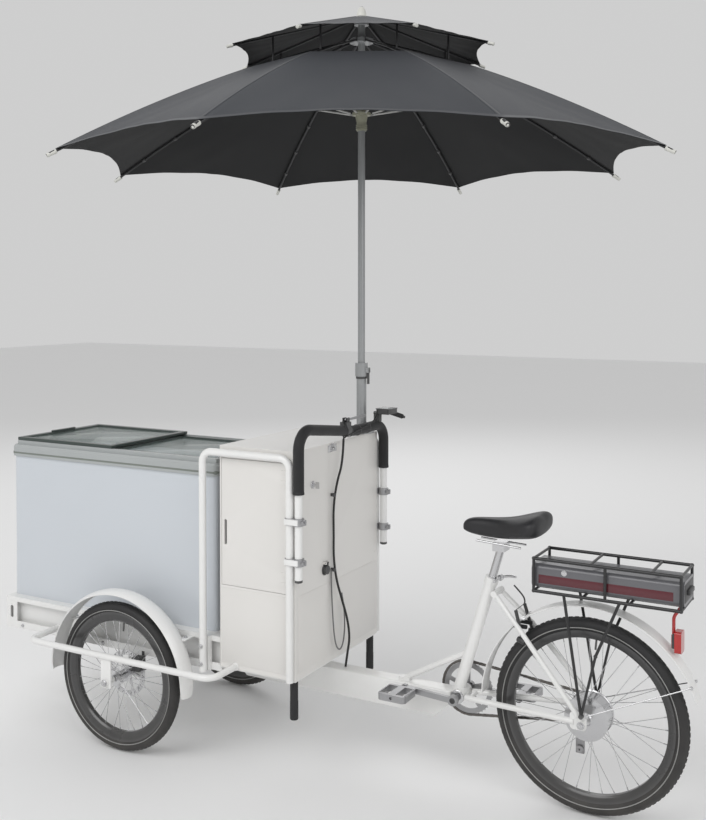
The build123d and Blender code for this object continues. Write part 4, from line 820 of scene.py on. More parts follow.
    def valve(self) -> bpy.types.Object:
        """Valve stem pointing at the hub."""
        top = self.centre + Vector((0, 0, self.rim_inner + 0.001))
        stem = bar(self.name + "_valve", top - Z_AXIS * 0.034, top, 0.0032, 10, 0.0005)
        stem.data.transform(turned(self.centre, Y_AXIS, 0.09))
        return stem

    def build(self) -> None:
        """Builds and dresses the whole wheel."""
        self.tyre()
        dress(self.rim(), RIM, self.body, 30.0, self.wheel_node)
        dress(self.spokes_and_nipples(), SPOKE, self.body)
        dress(self.hub(), STEEL, self.body, 30.0)
        dress(self.valve(), BLACK_STEEL, self.body)
        if self.disc_side:
            dress(self.disc(), STEEL, self.body, 30.0)


# ---------------------------------------------------------------- umbrella


# Darker copy of the canopy cloth for the downward faces: painted shade under the canopy.
CLOTH_UNDERSIDE_SHADE = Finish("canopy_underside_painted_shade", "canopy_cloth", (0.004, 0.0043, 0.005), 0.8, variation=0.14,
                      variation_scale=3.0, skin=Skin.WEAVE, relief_scale=4200.0, relief=0.3,
                      relief_depth=0.0003, sheen=0.0)


@dataclass
class Cloth:
    """One eight-sided cloth stretched over the ribs, built as a gore a rib."""

    name: str
    node: str
    rho_in: float
    rho_out: float
    root: tuple[float, float]
    tip: tuple[float, float]
    bow: float
    lift: float
    scallop: float
    sag: float
    rows: int = 26
    columns: int = 14
    wall: float = 0.0009

    def height(self, rho: float) -> float:
        """Height of the rib under the cloth at a distance from the pole."""
        share = (rho - self.root[0]) / (self.tip[0] - self.root[0])
        return self.root[1] + (self.tip[1] - self.root[1]) * share + 4 * self.bow * share * (1 - share)

    def point(self, pole: Vector, angle: float, side: int, along: float, across: float) -> Vector:
        """Point of the cloth.

        Args:
            pole: The pole's place.
            angle: The gore's rib direction.
            side: -1 or 1, the half of the gore.
            along: Share from the crown to the hem.
            across: Share from this rib to the next one, up to a half.

        Returns:
            The point in the frame.
        """
        rho = self.rho_in + (self.rho_out - self.rho_in) * along
        between = 4 * across * (1 - across)
        rho_here = rho - self.scallop * between * along ** 3
        step = side * 2 * pi / RIB_COUNT
        here = Vector((cos(angle), sin(angle), 0)) * rho_here
        there = Vector((cos(angle + step), sin(angle + step), 0)) * rho_here
        flat = here.lerp(there, across)
        wrinkle = 0.0011 * sin(26 * across + 9 * along) * along * between
        z = self.height(rho_here) + self.lift - self.sag * between * sin(pi * min(along, 0.96)) + wrinkle
        return Vector((pole.x + flat.x, pole.y + flat.y, z))

    def grid(self, name: str, pole: Vector, angle: float, alongs: list[float],
             acrosses: list[tuple[int, float]],
             raise_by: float) -> bpy.types.Object:
        """Sheet through a grid of cloth points, with a UV map in metres."""
        points, faces, uvs = [], [], []
        for along in alongs:
            for side, across in acrosses:
                points.append(self.point(pole, angle, side, along, across) + Z_AXIS * raise_by)
                uvs.append((along * (self.rho_out - self.rho_in),
                            side * across * along * self.rho_out * 0.77))
        width = len(acrosses)
        for row in range(len(alongs) - 1):
            for column in range(width - 1):
                first = row * width + column
                faces.append((first, first + width, first + width + 1, first + 1))
        mesh = bpy.data.meshes.new(name)
        mesh.from_pydata([tuple(point) for point in points], [], faces)
        layer = mesh.uv_layers.new(name="threads")
        for loop in mesh.loops:
            layer.data[loop.index].uv = uvs[loop.vertex_index]
        piece = bpy.data.objects.new(name, mesh)
        bpy.context.scene.collection.objects.link(piece)
        pick(piece)
        bpy.ops.object.mode_set(mode="EDIT")
        bpy.ops.mesh.select_all(action="SELECT")
        bpy.ops.mesh.normals_make_consistent(inside=False)
        bpy.ops.object.mode_set(mode="OBJECT")
        if mesh.polygons[len(mesh.polygons) // 2].normal.z < 0:
            mesh.flip_normals()
        return piece

    def gore(self, pole: Vector, angle: float, index: int, body: str) -> None:
        """One gore of cloth centred on its rib, its hem binding and its rib seam."""
        halves = [0.5 * i / self.columns for i in range(self.columns + 1)]
        acrosses = [(-1, share) for share in reversed(halves[1:])] + [(1, share) for share in halves]
        alongs = [i / self.rows for i in range(self.rows + 1)]
        sheet = self.grid(f"{self.name}_gore_{index}", pole, angle, alongs, acrosses, 0.0)
        apply_modifier(sheet, "SOLIDIFY", thickness=self.wall, offset=1.0, material_offset=1)
        dress(sheet, CLOTH, body, 50.0)
        sheet.data.materials.append(SHOP.material(CLOTH_UNDERSIDE_SHADE))
        # Downward faces take the darker copy: painted shade on the canopy's underside.
        for face in sheet.data.polygons:
            face.material_index = 1 if face.normal.z < 0 else 0
        hem = self.grid(f"{self.name}_hem_{index}", pole, angle,
                        [1 - 0.016 / (self.rho_out - self.rho_in), 1.0005],
                        acrosses, self.wall + 0.0001)
        apply_modifier(hem, "SOLIDIFY", thickness=0.0009, offset=1.0)
        seam_across = [(-1, 0.007), (-1, 0.0035), (1, 0.0), (1, 0.0035), (1, 0.007)]
        seam = self.grid(f"{self.name}_seam_{index}", pole, angle, alongs, seam_across, self.wall + 0.0001)
        apply_modifier(seam, "SOLIDIFY", thickness=0.0008, offset=1.0)
        dress(join(f"{self.name}_binding_{index}", [hem, seam]), BINDING, body, 50.0)
        for piece in (sheet, hem):
            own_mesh(piece)
        if index == 1:
            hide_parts(self.node)


@dataclass
class Umbrella:
    """Pole, hubs, runner, ribs, struts and both cloths."""

    base: str = "front_box"
    body: str = "umbrella"
    tip_rho: float = 1.094
    tip_z: float = 2.031
    vent_tip: tuple[float, float] = (0.495, 2.430)
    vent_root: tuple[float, float] = (0.047, 2.560)
    bow: float = 0.037

    def __post_init__(self) -> None:
        """Reads the pole's place and the rib pivots from the frame."""
        pole = middle("umbrella_mast")
        self.pole = Vector((pole.x, pole.y, 0))
        joint = next(j for j in frame["joints"] if j["name"] == "rib_1_fold")
        pivot = Vector(joint["pos_m"]) - self.pole
        self.pivot = (hypot(pivot.x, pivot.y), pivot.z)
        self.first = atan2(pivot.y, pivot.x)

    def cloths(self) -> None:
        """Both cloths, a gore for each rib."""
        main = Cloth("canopy", "canopy_main", 0.400, self.tip_rho - 0.028, self.pivot,
                     (self.tip_rho, self.tip_z),
                     self.bow, 0.0070, 0.058, 0.012)
        vent = Cloth("vent", "canopy_vent", 0.049, self.vent_tip[0] - 0.020, self.vent_root, self.vent_tip,
                     0.0,
                     0.0055, 0.026, 0.006, rows=14, columns=10)
        for index in range(RIB_COUNT):
            angle = self.first + index * 2 * pi / RIB_COUNT
            main.gore(self.pole, angle, index + 1, f"rib_{index + 1}")
            vent.gore(self.pole, angle, index + 1, f"rib_{index + 1}")

    def arms(self) -> None:
        """Rib tips and clips on the CAD ribs, and the finishes of the ribs and struts."""
        for index in range(RIB_COUNT):
            body = f"rib_{index + 1}"
            dress_node(body, RIB_STEEL)
            dress_node(f"strut_{index + 1}", STRUT_STEEL)
            turn = turned(self.pole, Z_AXIS, self.first + index * 2 * pi / RIB_COUNT)
            tip_dir = Vector((1, 0, -0.50)).normalized()
            tip = self.pole + Vector((self.tip_rho - 0.001, 0, self.tip_z))
            cap = lathe("cap", [(0, -0.034), (0.0066, -0.034), (0.0072, -0.030), (0.0064, -0.012),
                                (0.0072, -0.006),
                                (0.0068, 0.0), (0, 0.002)], tip, tip_dir, 20)
            vent_dir = Vector((1, 0, -0.29)).normalized()
            vent_tip = self.pole + Vector((self.vent_tip[0], 0, self.vent_tip[1]))
            small = lathe("small_cap", [(0, -0.022), (0.0056, -0.022), (0.006, -0.018), (0.0052, -0.006),
                                        (0.006, 0.0), (0, 0.0015)], vent_tip, vent_dir, 20)
            caps = join(f"rib_caps_{index + 1}", [cap, small])
            caps.data.transform(turn)
            dress(caps, TIP, body)
            clips = []
            for rho in (0.62, 0.80, 0.95):
                share = (rho - self.pivot[0]) / (self.tip_rho - self.pivot[0])
                z = self.pivot[1] + (self.tip_z - self.pivot[1]) * share + 4 * self.bow * share * (1 - share)
                place = self.pole + Vector((rho, 0, z - 0.001))
                run = Vector((1, 0, -0.43)).normalized()
                clips.append(lathe("clip", [(0.0048, -0.007), (0.0072, -0.006), (0.0076, 0.0),
                                            (0.0072, 0.006),
                                            (0.0048, 0.007)], place, run, 16, True))
            clip = join(f"rib_clips_{index + 1}", clips)
            clip.data.transform(turn)
            dress(clip, BLACK_PLASTIC, body)

    def pole_parts(self) -> None:
        """Finishes of the pole and the clamp, with screws, cap and runner details."""
        dress_node("umbrella_mast", POLE)
        dress_node("umbrella_runner", RUNNER)
        dress_node("pole_base", POLE)
        dress_node("pole_lever", BLACK_PLASTIC)
        low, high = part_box("pole_base")
        flange_top = low.z + 0.006
        screw = lathe("screw", [(0, 0.0044), (0.0038, 0.004), (0.0058, 0.002), (0.006, 0), (0, 0)],
                      Vector((self.pole.x + 0.034, self.pole.y, flange_top)), Z_AXIS, 16)
        screws = repeat("base_screws", screw,
                        [turned(self.pole, Z_AXIS, pi / 4 + i * pi / 2) for i in range(4)])
        dress(screws, STEEL, self.base)
        ring_z = high.z - 0.052
        ring = lathe("base_ring", [(0.0182, -0.006), (0.0205, -0.005), (0.0205, 0.005), (0.0182, 0.006)],
                     Vector((self.pole.x, self.pole.y, ring_z)), Z_AXIS, 40, True)
        dress(ring, BLACK_PLASTIC, self.base)
        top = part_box("umbrella_mast")[1].z
        cap = lathe("mast_cap", [(0, 0), (0.006, -0.001), (0.0125, -0.008), (0.0165, -0.022),
                                 (0.0185, -0.034),
                                 (0.0165, -0.036), (0, -0.036)],
                    Vector((self.pole.x, self.pole.y, top)), Z_AXIS, 32)
        dress(cap, TIP, self.body)
        runner_low, runner_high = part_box("umbrella_runner")
        collars = [
            lathe("collar", [(0.0182, -0.002), (0.0205, -0.0015), (0.0205, 0.0015), (0.0182, 0.002)],
                  Vector((self.pole.x, self.pole.y, runner_low.z + 0.006 + 0.007 * i)), Z_AXIS, 40, True)
            for i in range(3)
        ]
        dress(join("runner_grips", collars), RUNNER, "runner")

    def build(self) -> None:
        """Builds and dresses the whole umbrella."""
        self.cloths()
        self.arms()
        self.pole_parts()


# ---------------------------------------------------------------- mudguards


@dataclass
class Mudguard:
    """Rolled mudguard over a wheel."""

    name: str
    node: str
    body: str
    centre: Vector
    radius: float
    width: float
    start: float
    end: float
    crown: float = 0.010
    wall: float = 0.0016

    def section(self) -> list[tuple[float, float]]:
        """Sideways place and height above the radius, across the guard."""
        half = self.width / 2
        points = []
        for step in range(-8, 9):
            share = step / 8
            points.append((half * share, self.crown * (1 - abs(share) ** 2.4)))
        rolled = [(-half + 0.0022, -0.0022), (-half + 0.0004, -0.0018)]
        return rolled + points + [(-side, drop) for side, drop in reversed(rolled)]

    def build(self) -> bpy.types.Object:
        """Builds the guard; its callers hide the CAD node that it stands for."""
        steps = 72
        points, faces = [], []
        section = self.section()
        for step in range(steps + 1):
            share = step / steps
            angle = radians(self.start + (self.end - self.start) * share)
            round_off = min(share, 1 - share) * steps
            narrow = 1 - 0.18 * max(0.0, 1 - round_off / 3) ** 2
            for side, rise in section:
                reach = self.radius + rise
                points.append((self.centre.x + reach * cos(angle), self.centre.y + side * narrow,
                               self.centre.z + reach * sin(angle)))
        width = len(section)
        for row in range(steps):
            for column in range(width - 1):
                first = row * width + column
                faces.append((first, first + 1, first + width + 1, first + width))
        mesh = bpy.data.meshes.new(self.name)
        mesh.from_pydata(points, [], faces)
        guard = bpy.data.objects.new(self.name, mesh)
        bpy.context.scene.collection.objects.link(guard)
        pick(guard)
        bpy.ops.object.mode_set(mode="EDIT")
        bpy.ops.mesh.select_all(action="SELECT")
        bpy.ops.mesh.normals_make_consistent(inside=False)
        bpy.ops.object.mode_set(mode="OBJECT")
        apply_modifier(guard, "SOLIDIFY", thickness=self.wall, offset=0.0)
        return dress(guard, WHITE, self.body, 45.0)

    def stay(self, name: str, side: int, angle: float, foot: Vector) -> None:
        """Wire stay from the guard's edge to the axle, with its clip and bolt.

        Args:
            name: The piece's name.
            side: -1 for the near edge, 1 for the far one.
            angle: Where it meets the guard, in degrees.
            foot: Its lower end.
        """
        reach = Vector((cos(radians(angle)), 0, sin(radians(angle))))
        top = self.centre + reach * (self.radius + 0.001) + Y_AXIS * side * (self.width / 2 + 0.0015)
        rod = bar(name, top, foot, 0.0021, 14)
        eye = bar("eye", foot - Y_AXIS * 0.003, foot + Y_AXIS * 0.003, 0.0065, 24, 0.0008)
        clip = bar("clip", top - Y_AXIS * 0.002, top + Y_AXIS * 0.003, 0.0055, 20, 0.0008)
        dress(join(name, [rod, eye, clip]), STEEL, self.body)


# ---------------------------------------------------------------- front box


def hex_nut(name: str, place: Vector, axis: Vector, radius: float, height: float) -> bpy.types.Object:
    """Hexagon nut with a washer under it and a domed bolt end."""
    nut = bar("nut", place + axis * 0.0012, place + axis * (0.0012 + height), radius, 6, 0.0005)
    washer = bar("washer", place, place + axis * 0.0014, radius * 1.25, 28, 0.0003)
    end = lathe("end", [(0, height + 0.004), (radius * 0.42, height + 0.003), (radius * 0.5, height),
                        (0, height)],
                place, axis, 20)
    return join(name, [nut, washer, end])


@dataclass
class FrontBox:
    """Tray, hoops, guard tubes, mudguards, brakes and stops round the front wheels."""

    body: str = "front_box"
    wheel_x: float = -1551.0
    wheel_z: float = 257.0
    track_half: float = 348.0
    disc_y: float = 313.5

    def fenders(self) -> None:
        """Both front mudguards with their brackets."""
        for side, name in ((-1, "left"), (1, "right")):
            guard = Mudguard(f"front_fender_{name}", "front_fenders", self.body,
                             at(self.wheel_x, side * self.track_half, self.wheel_z), 0.289, 0.068, -4, 184)
            guard.build()
            for way in (-1, 1):
                x = self.wheel_x + way * 247
                low = at(x - 14, side * 269, 411.5)
                high = at(x + 14, side * 326, 415.5)
                bracket = slab("bracket", Vector(map(min, low, high)), Vector(map(max, low, high)), 0.001)
                bolt = hex_nut("bolt", at(x, side * 300, 415.5), Z_AXIS, 0.0055, 0.004)
                dress(bracket, WHITE, self.body)
                bracket.name = f"fender_bracket_{name}_{'front' if way < 0 else 'rear'}"
                dress(bolt, STEEL, self.body)
                bolt.name = f"fender_bolt_{name}_{'front' if way < 0 else 'rear'}"
        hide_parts("front_fenders")

    def brakes(self) -> None:
        """Disc caliper on the inner side of each front wheel."""
        for side, name in ((-1, "left"), (1, "right")):
            angle = radians(38)
            spot = Vector((self.wheel_x + 66 * cos(angle), side * self.disc_y,
                           self.wheel_z + 66 * sin(angle)))
            pieces = []
            for y_low, y_high in ((6, 20), (-17, -5)):
                body = slab("half", at(spot.x - 18, side * (self.disc_y + y_low), spot.z - 24),
                            at(spot.x + 18, side * (self.disc_y + y_high), spot.z + 24), 0.004)
                pieces.append(body)
            bridge = slab("bridge", at(spot.x + 8, side * (self.disc_y - 17), spot.z + 20),
                          at(spot.x + 20, side * (self.disc_y + 20), spot.z + 27), 0.003)
            knob = bar("knob", at(spot.x, side * (self.disc_y - 16), spot.z),
                       at(spot.x, side * (self.disc_y - 25), spot.z),
                       0.011, 30, 0.0015)
            arm = slab("arm", at(spot.x - 8, side * (self.disc_y - 30), spot.z - 8),
                       at(spot.x + 2, side * (self.disc_y - 25), spot.z + 34), 0.0015)
            mount = slab("mount", at(self.wheel_x - 6, side * 268, self.wheel_z + 12),
                         at(spot.x + 12, side * 297, self.wheel_z + 30), 0.002)
            pieces += [bridge, knob, arm, mount]
            dress(join(f"caliper_{name}", pieces), BLACK_PLASTIC, self.body)

    def stops(self) -> None:
        """Rubber sleeves on the two steering stops under the cabinet."""
        for side, name in ((-1, "left"), (1, "right")):
            sleeve = lathe(f"stop_sleeve_{name}",
                           [(0, 0), (0.0125, 0.0005), (0.0138, 0.003), (0.0138, 0.060), (0.0132, 0.062),
                            (0.0132, 0.126),
                            (0, 0.126)], at(-896, side * 260, 203), Z_AXIS, 40)
            dress(sleeve, RUBBER, self.body)

    def fittings(self) -> None:
        """Bolts and nuts on the tray, the guard tubes and the hoops, and the guard tubes' welds."""
        nuts = []
        for side in (-1, 1):
            way = Y_AXIS * side
            nuts.append(hex_nut("nut", at(self.wheel_x, side * 430, self.wheel_z), way, 0.010, 0.006))
            for x in (-2100, -1900, -1700, -1400):
                nuts.append(hex_nut("nut", at(x, side * 270, 324), way, 0.0055, 0.004))
            for z in (340, 400):
                nuts.append(hex_nut("nut", at(-1234, side * 309, z), way, 0.0062, 0.0042))
        for y in (-180, 180):
            nuts.append(hex_nut("nut", at(-2185, y, 372), -X_AXIS, 0.0058, 0.004))
        dress(join("tray_bolts", nuts), STEEL, self.body)
        welds = []
        for side in (-1, 1):
            for x in (-1915, -1110):
                y = 270 if x < -1500 else 284
                welds.append(lathe("weld", [(0.0110, -0.002), (0.0135, 0.0), (0.0135, 0.001),
                                            (0.0110, 0.0035)],
                                   at(x, side * (y + 1), 345), Y_AXIS * side, 36, True))
        dress(join("guard_welds", welds), WHITE, self.body)

    def build(self) -> None:
        """Builds and dresses the box's chassis."""
        for node in ("tray", "side_hoops", "side_guards"):
            dress_node(node, WHITE)
        self.fenders()
        self.brakes()
        self.stops()
        self.fittings()


# ---------------------------------------------------------------- freezer


@dataclass
class Freezer:
    """Chest freezer: tub, trim, sliding glass lids and wire baskets."""

    body: str = "front_box"
    x: tuple[float, float] = (-2176.0, -1226.0)
    half: float = 233.0
    trim_bottom: float = 960.0
    trim_top: float = 1003.0
    rail_top: float = 1017.5

    def trim(self) -> None:
        """Darker lower band round the trim."""
        out_x, out_y = (self.x[0] - 6.6, self.x[1] + 6.6), self.half + 6.6
        band = slab("trim_band", at(out_x[0], -out_y, 961), at(out_x[1], out_y, 984), 0)
        pick(band)
        bevel(band, 0.0135, 6, 80.0)
        core = slab("core", at(out_x[0] + 3, -out_y + 3, 950), at(out_x[1] - 3, out_y - 3, 1000), 0)
        bevel(core, 0.0115, 6, 80.0)
        apply_modifier(band, "BOOLEAN", operation="DIFFERENCE", object=core, solver="EXACT")
        bpy.data.objects.remove(core)
        dress(band, TRIM_BAND, self.body)

    def lid(self, name: str, node: str, body: str, frame_w: float, handle_x: float | None) -> None:
        """Glass plate in a dark frame.

        Args:
            name: The piece's name.
            node: The CAD lid that it stands for.
            body: The lid's body.
            frame_w: Width of the frame, in metres.
            handle_x: Where its finger rail stands, in mm, or None.
        """
        low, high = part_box(node)
        top = low.z + 0.0115
        edge = Vector((frame_w, frame_w, 0))
        outer_low, outer_high = Vector((low.x, low.y, low.z)), Vector((high.x, high.y, top))
        bars = [
            slab("rail", outer_low, Vector((high.x, low.y + frame_w, top)), 0.0022),
            slab("rail", Vector((low.x, high.y - frame_w, low.z)), outer_high, 0.0022),
            slab("rail", Vector((low.x, low.y + frame_w - 0.001, low.z)),
                 Vector((low.x + frame_w, high.y - frame_w + 0.001, top)), 0.0022),
            slab("rail", Vector((high.x - frame_w, low.y + frame_w - 0.001, low.z)),
                 Vector((high.x, high.y - frame_w + 0.001, top)), 0.0022),
        ]
        if handle_x is not None:
            rail = slab("finger_rail", at(handle_x, -62, 0) + Z_AXIS * (top - 0.0005),
                        at(handle_x + 13, 62, 0) + Z_AXIS * (top + 0.0075), 0.0028)
            bars.append(rail)
        dress(join(f"{name}_frame", bars), LID_FRAME, body, 35.0, node)
        glass = slab(f"{name}_glass", outer_low + edge * 0.8 + Z_AXIS * 0.0035,
                     outer_high - edge * 0.8 - Z_AXIS * 0.0035,
                     0.0004)
        dress(glass, GLASS, body)

    def basket(self, name: str, x_low: float, x_high: float) -> None:
        """Hanging wire basket between two x values."""
        half, top, bottom = self.half - 56, 940, 760
        wires = []

        def hoop(z: float, inset: float) -> None:
            corners = [at(x_low + inset, -half + inset, z), at(x_high - inset, -half + inset, z),
                       at(x_high - inset, half - inset, z), at(x_low + inset, half - inset, z)]
            for index in range(4):
                wires.append(bar("wire", corners[index], corners[(index + 1) % 4], 0.0019, 8))

        for z, inset in ((top, 0), (880, 4), (820, 8), (bottom, 12)):
            hoop(z, inset)
        count = 10
        for index in range(count + 1):
            x = x_low + 12 + (x_high - x_low - 24) * index / count
            wires.append(bar("wire", at(x, -half + 12, bottom), at(x, half - 12, bottom), 0.0015, 6))
            for side in (-1, 1):
                wires.append(bar("wire", at(x, side * (half - 12), bottom), at(x, side * half, top), 0.0015,
                                 6))
        for index in range(9):
            y = (-half + 14) + (2 * half - 28) * index / 8
            wires.append(bar("wire", at(x_low + 12, y, bottom), at(x_high - 12, y, bottom), 0.0015, 6))
            wires.append(bar("wire", at(x_low + 12, y, bottom), at(x_low, y, top), 0.0015, 6))
            wires.append(bar("wire", at(x_high - 12, y, bottom), at(x_high, y, top), 0.0015, 6))
        dress(join(name, wires), STEEL, self.body)

    def build(self) -> None:
        """Builds and dresses the freezer."""
        dress_node("freezer_tub", BODY)
        dress_node("freezer_trim", TRIM)
        self.trim()
        self.lid("lid_front", "lid_front", "lid_front", 0.024, -2156.0)
        self.lid("lid_rear", "lid_rear", "lid_rear", 0.024, None)
        self.basket("basket_front", -2110, -1720)
        self.basket("basket_rear", -1690, -1290)


# ---------------------------------------------------------------- cabinet and bar


@dataclass
class Cabinet:
    """Sheet cabinet with its side door, locks, socket and cable clips."""

    body: str = "front_box"
    face_x: float = -876.0
    side_y: float = -284.0
    door_x: tuple[float, float] = (-1164.0, -905.0)
    door_z: tuple[float, float] = (614.0, 1036.0)

    def door(self) -> None:
        """Door skin and the dark back of its pull."""
        dress_node("cabinet_door", CABINET)
        pull = slab("door_pull_back", at(self.door_x[0] + 10.6, self.side_y + 7.6, 749),
                    at(self.door_x[0] + 19.4, self.side_y + 9.2, 831), 0)
        dress(pull, BLACK_PLASTIC, "door")

    def panels(self) -> None:
        """Pressed side and rear panels, the plinth and the rivets."""
        panels = []
        for side in (-1, 1):
            y = side * 284.0
            panels.append(slab("lower", at(-1164, min(y, y + side * 1.2), 352),
                               at(-905, max(y, y + side * 1.2), 604), 0.0008))
        panels.append(slab("upper", at(-1164, 284, 614), at(-905, 285.2, 1036), 0.0008))
        panels.append(slab("rear", at(self.face_x, -268, 356), at(self.face_x + 1.0, 268, 606), 0.0007))
        plinth = slab("plinth", at(-1172, -279.5, 330.5), at(self.face_x - 4.5, 279.5, 336), 0.0006)
        dress(join("cabinet_panels", panels), CABINET, self.body)
        dress(plinth, WHITE, self.body)
        rivets = []
        for z in (380, 560, 640, 1000):
            for y in (-258, 258):
                rivets.append(lathe("rivet", [(0, 0.0016), (0.002, 0.0013), (0.0034, 0.0)],
                                    at(self.face_x, y, z), X_AXIS, 16))
        dress(join("cabinet_rivets", rivets), CABINET, self.body)

    def fittings(self) -> None:
        """Lock ring, key, charging socket and its cap, clips and the roof latch."""
        dress_node("cabinet", CABINET)
        dress_node("cabinet_lock", STEEL)
        dress_node("socket_cap", BLACK_PLASTIC)
        lock = lathe("lock_ring", [(0.0096, 0), (0.0128, 0.0004), (0.0128, 0.0018), (0.0112, 0.003),
                                   (0.0096, 0.003)],
                     at(self.face_x, -177, 954), X_AXIS, 40, True)
        dress(lock, STEEL, self.body)
        socket = lathe("socket_ring", [(0.0132, 0.0002), (0.0185, 0.0002), (0.0185, 0.0035),
                                       (0.0165, 0.005), (0.0150, 0.0078),
                                       (0.0132, 0.0078)], at(self.face_x, -99, 656), X_AXIS, 44, True)
        dress(socket, BLACK_PLASTIC, self.body)
        plate = slab("latch_plate", at(self.face_x, -78, 1046), at(self.face_x + 2, -22, 1070), 0.0008)
        hasp = slab("hasp", at(self.face_x + 1.8, -58, 1048), at(self.face_x + 4.5, -42, 1076), 0.001)
        knob = bar("knob", at(self.face_x + 2, -50, 1056), at(self.face_x + 10, -50, 1056), 0.0065, 24,
                   0.001)
        dress(join("roof_latch", [plate, hasp, knob]), STEEL, self.body)
        for index, z in enumerate((901, 647)):
            saddle = lathe("saddle", [(0.0041, -0.006), (0.0062, -0.005), (0.0062, 0.005), (0.0041, 0.006)],
                           at(-864.5, -56, z), Z_AXIS, 32, True)
            foot = slab("foot", at(self.face_x, -60, z - 5), at(-867.5, -52, z + 5), 0.0006)
            dress(join(f"cable_clip_{index + 1}", [saddle, foot]), BLACK_PLASTIC, self.body)

    def build(self) -> None:
        """Builds and dresses the cabinet."""
        self.fittings()
        self.door()
        self.panels()


@dataclass
class PushBar:
    """Push bar: tube, foam, clamps, display, brake lever and their cables."""

    body: str = "front_box"
    bar_x: float = -857.0
    half: float = 294.0

    def clamps(self) -> None:
        """Bright split clamps with their bolts, where the bar meets the hoops."""
        pieces = []
        for side in (-1, 1):
            for z in (856, 727):
                pieces.append(lathe("collar", [(0.0130, -0.0125), (0.0178, -0.0118), (0.0182, -0.010),
                                               (0.0182, 0.010),
                                               (0.0178, 0.0118), (0.0130, 0.0125)],
                                    at(self.bar_x, side * self.half, z), Z_AXIS, 48, True))
                ear = slab("ear", at(self.bar_x + 14, side * self.half - 5, z - 9),
                           at(self.bar_x + 27, side * self.half + 5, z + 9), 0.002)
                bolt = bar("bolt", at(self.bar_x + 21, side * self.half - 9, z),
                           at(self.bar_x + 21, side * self.half + 9, z), 0.0034, 20)
                head = bar("head", at(self.bar_x + 21, side * self.half - 13, z),
                           at(self.bar_x + 21, side * self.half - 9, z), 0.0062, 6, 0.0005)
                pieces += [ear, bolt, head]
                pieces.append(lathe("hoop_collar",
                                    [(0.0127, -0.0105), (0.0158, -0.010), (0.0158, 0.010),
                                     (0.0127, 0.0105)],
                                    at(-889.5, side * 296.9, z), Z_AXIS, 48, True))
        dress(join("bar_clamps", pieces), CAST, self.body)
        caps = [lathe("cap", [(0, -0.003), (0.010, -0.003), (0.0128, -0.001), (0.0128, 0.006), (0, 0.006)],
                      at(self.bar_x, side * self.half, 664), Z_AXIS, 32) for side in (-1, 1)]
        dress(join("bar_caps", caps), BLACK_PLASTIC, self.body)
        bands = []
        for side in (-1, 1):
            bands.append(lathe("band", [(0.0127, -0.0015), (0.0186, -0.0015), (0.0190, 0.004),
                                        (0.0180, 0.008), (0.0127, 0.008)],
                               at(self.bar_x, side * self.half, 945), Z_AXIS, 48, True))
        dress(join("foam_ends", bands), RUBBER, self.body)

    def display(self) -> None:
        """Display bezel and screen, throttle barrel and lever parts."""
        dress_node("controls", BLACK_PLASTIC)
        dress_node("brake_lever", CAST)
        bezel = slab("display_bezel", at(-844, 206, 1166.5), at(-786, 269, 1169.5), 0.004)
        dress(bezel, GREY_PLASTIC, self.body)
        screen = slab("display_screen", at(-838, 216, 1169), at(-794, 260, 1170.2), 0.0004)
        dress(screen, SCREEN, self.body)
        buttons = [bar("button", at(-800, 226 + 12 * index, 1169), at(-800, 226 + 12 * index, 1171), 0.0032,
                       20, 0.0006)
                   for index in range(3)]
        dress(join("display_buttons", buttons), BLACK_PLASTIC, self.body)
        axis = (at(-790, 330, 1128) - at(-815, 270, 1150)).normalized()
        ribs = [(0.0052, 0.0)]
        for index in range(14):
            ribs += [(0.0086, 0.002 + 0.0042 * index), (0.0076, 0.0042 + 0.0042 * index)]
        ribs.append((0.0052, 0.062))
        throttle = lathe("throttle_grip", ribs, at(-815, 270, 1150), axis, 32, True)
        dress(throttle, RUBBER, self.body)
        collar = lathe("lever_collar", [(0.0182, -0.013), (0.0205, -0.012), (0.0205, 0.012),
                                        (0.0182, 0.013)],
                       at(self.bar_x, 11, 1111.5), Vector((0, 350, -45)), 48, True)
        dress(collar, BLACK_PLASTIC, self.body)

    def leads(self) -> None:
        """Brake and display leads, strapped along the foam to the clip where the main cable starts."""
        brake = wire("brake_lead", [at(-857, -3, 1146), at(-850, -14, 1142), at(-842, -20, 1128),
                                    at(-844, -18, 1110),
                                    at(-850, -15, 1096), at(-851, -14, 1087)], 0.0026, 3)
        display = wire("display_lead", [at(-842, 222, 1158), at(-834, 200, 1150), at(-833, 170, 1128),
                                        at(-835, 120, 1114),
                                        at(-835, 60, 1108), at(-837, 20, 1103), at(-845, -6, 1096),
                                        at(-851, -14, 1087)], 0.0022, 3)
        ties = []
        for y in (160, 90, 30):
            ties.append(lathe("tie", [(0.0181, -0.0018), (0.0196, -0.0015), (0.0196, 0.0015),
                                      (0.0181, 0.0018)],
                              at(self.bar_x, y, 1105 + (1.5 if y < 60 else 0.0)), Y_AXIS, 40, True))
        dress(join("bar_leads", [brake, display]), CABLE, self.body, 60.0)
        dress(join("lead_ties", ties), BLACK_PLASTIC, self.body)

    def build(self) -> None:
        """Builds and dresses the bar."""
        dress_node("handlebar", WHITE)
        dress_node("handlebar_grip", FOAM)
        self.clamps()
        self.display()
        self.leads()


# ---------------------------------------------------------------- rear half


